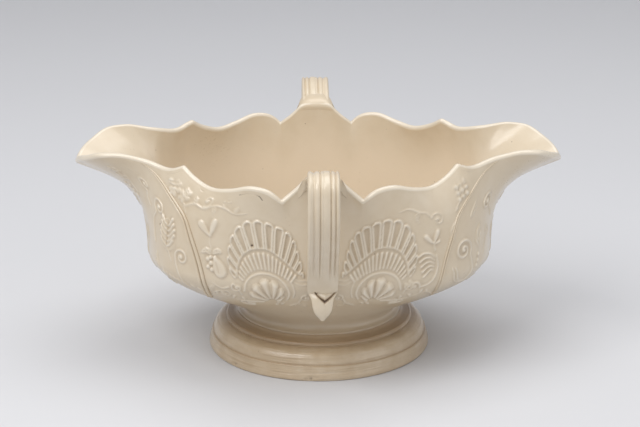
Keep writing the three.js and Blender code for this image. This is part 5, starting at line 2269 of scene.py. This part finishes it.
@dataclass(frozen=True)
class Studio:
    """A plain pale floor that curves up into a backdrop, and the camera."""

    distance: float = 738.7
    elevation: float = 17.84
    azimuth: float = -1.38
    target: tuple[float, float, float] = (0.483, 0.0, 56.05)
    lens: float = 99.66
    floor_half: float = 1500.0
    backdrop_start: float = 900.0
    backdrop_radius: float = 500.0
    backdrop_height: float = 1500.0
    floor_front: float = -2000.0
    bend_steps: int = 24

    def build(self, finish: Finish) -> None:
        """Adds the floor, its backdrop and the camera."""
        profile = [(self.floor_front, 0.0), (self.backdrop_start, 0.0)]
        for k in range(1, self.bend_steps + 1):
            turn = k / self.bend_steps * math.pi / 2
            out = self.backdrop_start + self.backdrop_radius * math.sin(turn)
            profile.append((out, self.backdrop_radius * (1 - math.cos(turn))))
        profile.append((profile[-1][0], self.backdrop_height))
        rows = [[(x, y, z) for x in (-self.floor_half * 2, self.floor_half * 2)] for y, z in profile]
        points = np.array(rows, float).reshape(-1, 3)
        floor = piece_from("floor", points, quads_of_rings(len(profile), 2, False))
        floor.data.materials.append(finish)
        self._camera()

    def _camera(self) -> None:
        """Sets the camera at the photograph's viewing angle."""
        rise = math.radians(self.elevation)
        turn = math.radians(self.azimuth)
        back = Vector((math.sin(turn) * math.cos(rise), -math.cos(turn) * math.cos(rise), math.sin(rise)))
        data = bpy.data.cameras.new("camera")
        data.lens = self.lens
        data.sensor_width = 36.0
        data.clip_start = 0.05
        data.clip_end = 20.0
        camera = bpy.data.objects.new("camera", data)
        right = Vector((0, 0, 1)).cross(back).normalized()
        up = back.cross(right)
        turned = Matrix((right, up, back)).transposed().to_4x4()
        camera.matrix_world = Matrix.Translation((Vector(self.target) + back * self.distance) * MM) @ turned
        bpy.context.scene.collection.objects.link(camera)
        bpy.context.scene.camera = camera


@dataclass(frozen=True)
class FloorPaint:
    """A matt pale floor."""

    colour: Colour = (206, 206, 208)

    def material(self) -> Finish:
        """Builds the floor's nodes and returns the material."""
        g = Glazing("pale_floor")
        shade = g.noise(400, 2, seed=0.3) * 0.3
        colour = g.mixed(shade, linear(*self.colour), linear(198, 198, 201))
        shader = g.node("ShaderNodeBsdfPrincipled", {}, {"Base Color": colour, "Roughness": 0.8})
        return g.finished(shader)


def main() -> None:
    """Builds the vessel piece by piece, then the floor, the light and the camera."""
    logging.basicConfig(level=logging.INFO, format="%(name)s: %(message)s", stream=sys.stdout)
    bpy.context.scene.view_settings.view_transform = "Standard"
    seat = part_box("bowl")[0].z / MM
    shape = BowlShape(seat)
    bowl_glaze = SaltGlaze("salt_glaze_bowl").material()
    # The foot's colours are darker than the bowl's: painted shade.
    foot_shaded_colours = {"body": (196, 178, 152), "warm": (180, 158, 128)}
    shaded_foot_glaze = SaltGlaze("salt_glaze_foot_shaded", warmth=0.8, turning=0.35, **foot_shaded_colours).material()
    handle_glaze = SaltGlaze("salt_glaze_handle", body=(213, 199, 176), warm=(201, 183, 155)).material()
    slip_glaze = SaltGlaze("salt_glaze_slip", warmth=0.8).material()
    Bowl(shape).build(bowl_glaze)
    ReliefPanels(shape).build(bowl_glaze)
    Foot(Turning(), seat).build(shaded_foot_glaze, slip_glaze)
    handle = StrapHandle(shape)
    joints = SlipJoints(handle)
    for side in (Side.FRONT, Side.BACK):
        handle.build(side, handle_glaze)
        joints.build(side, slip_glaze)
    Studio().build(FloorPaint().material())
    Lighting().build()


if __name__ == "__main__":
    main()
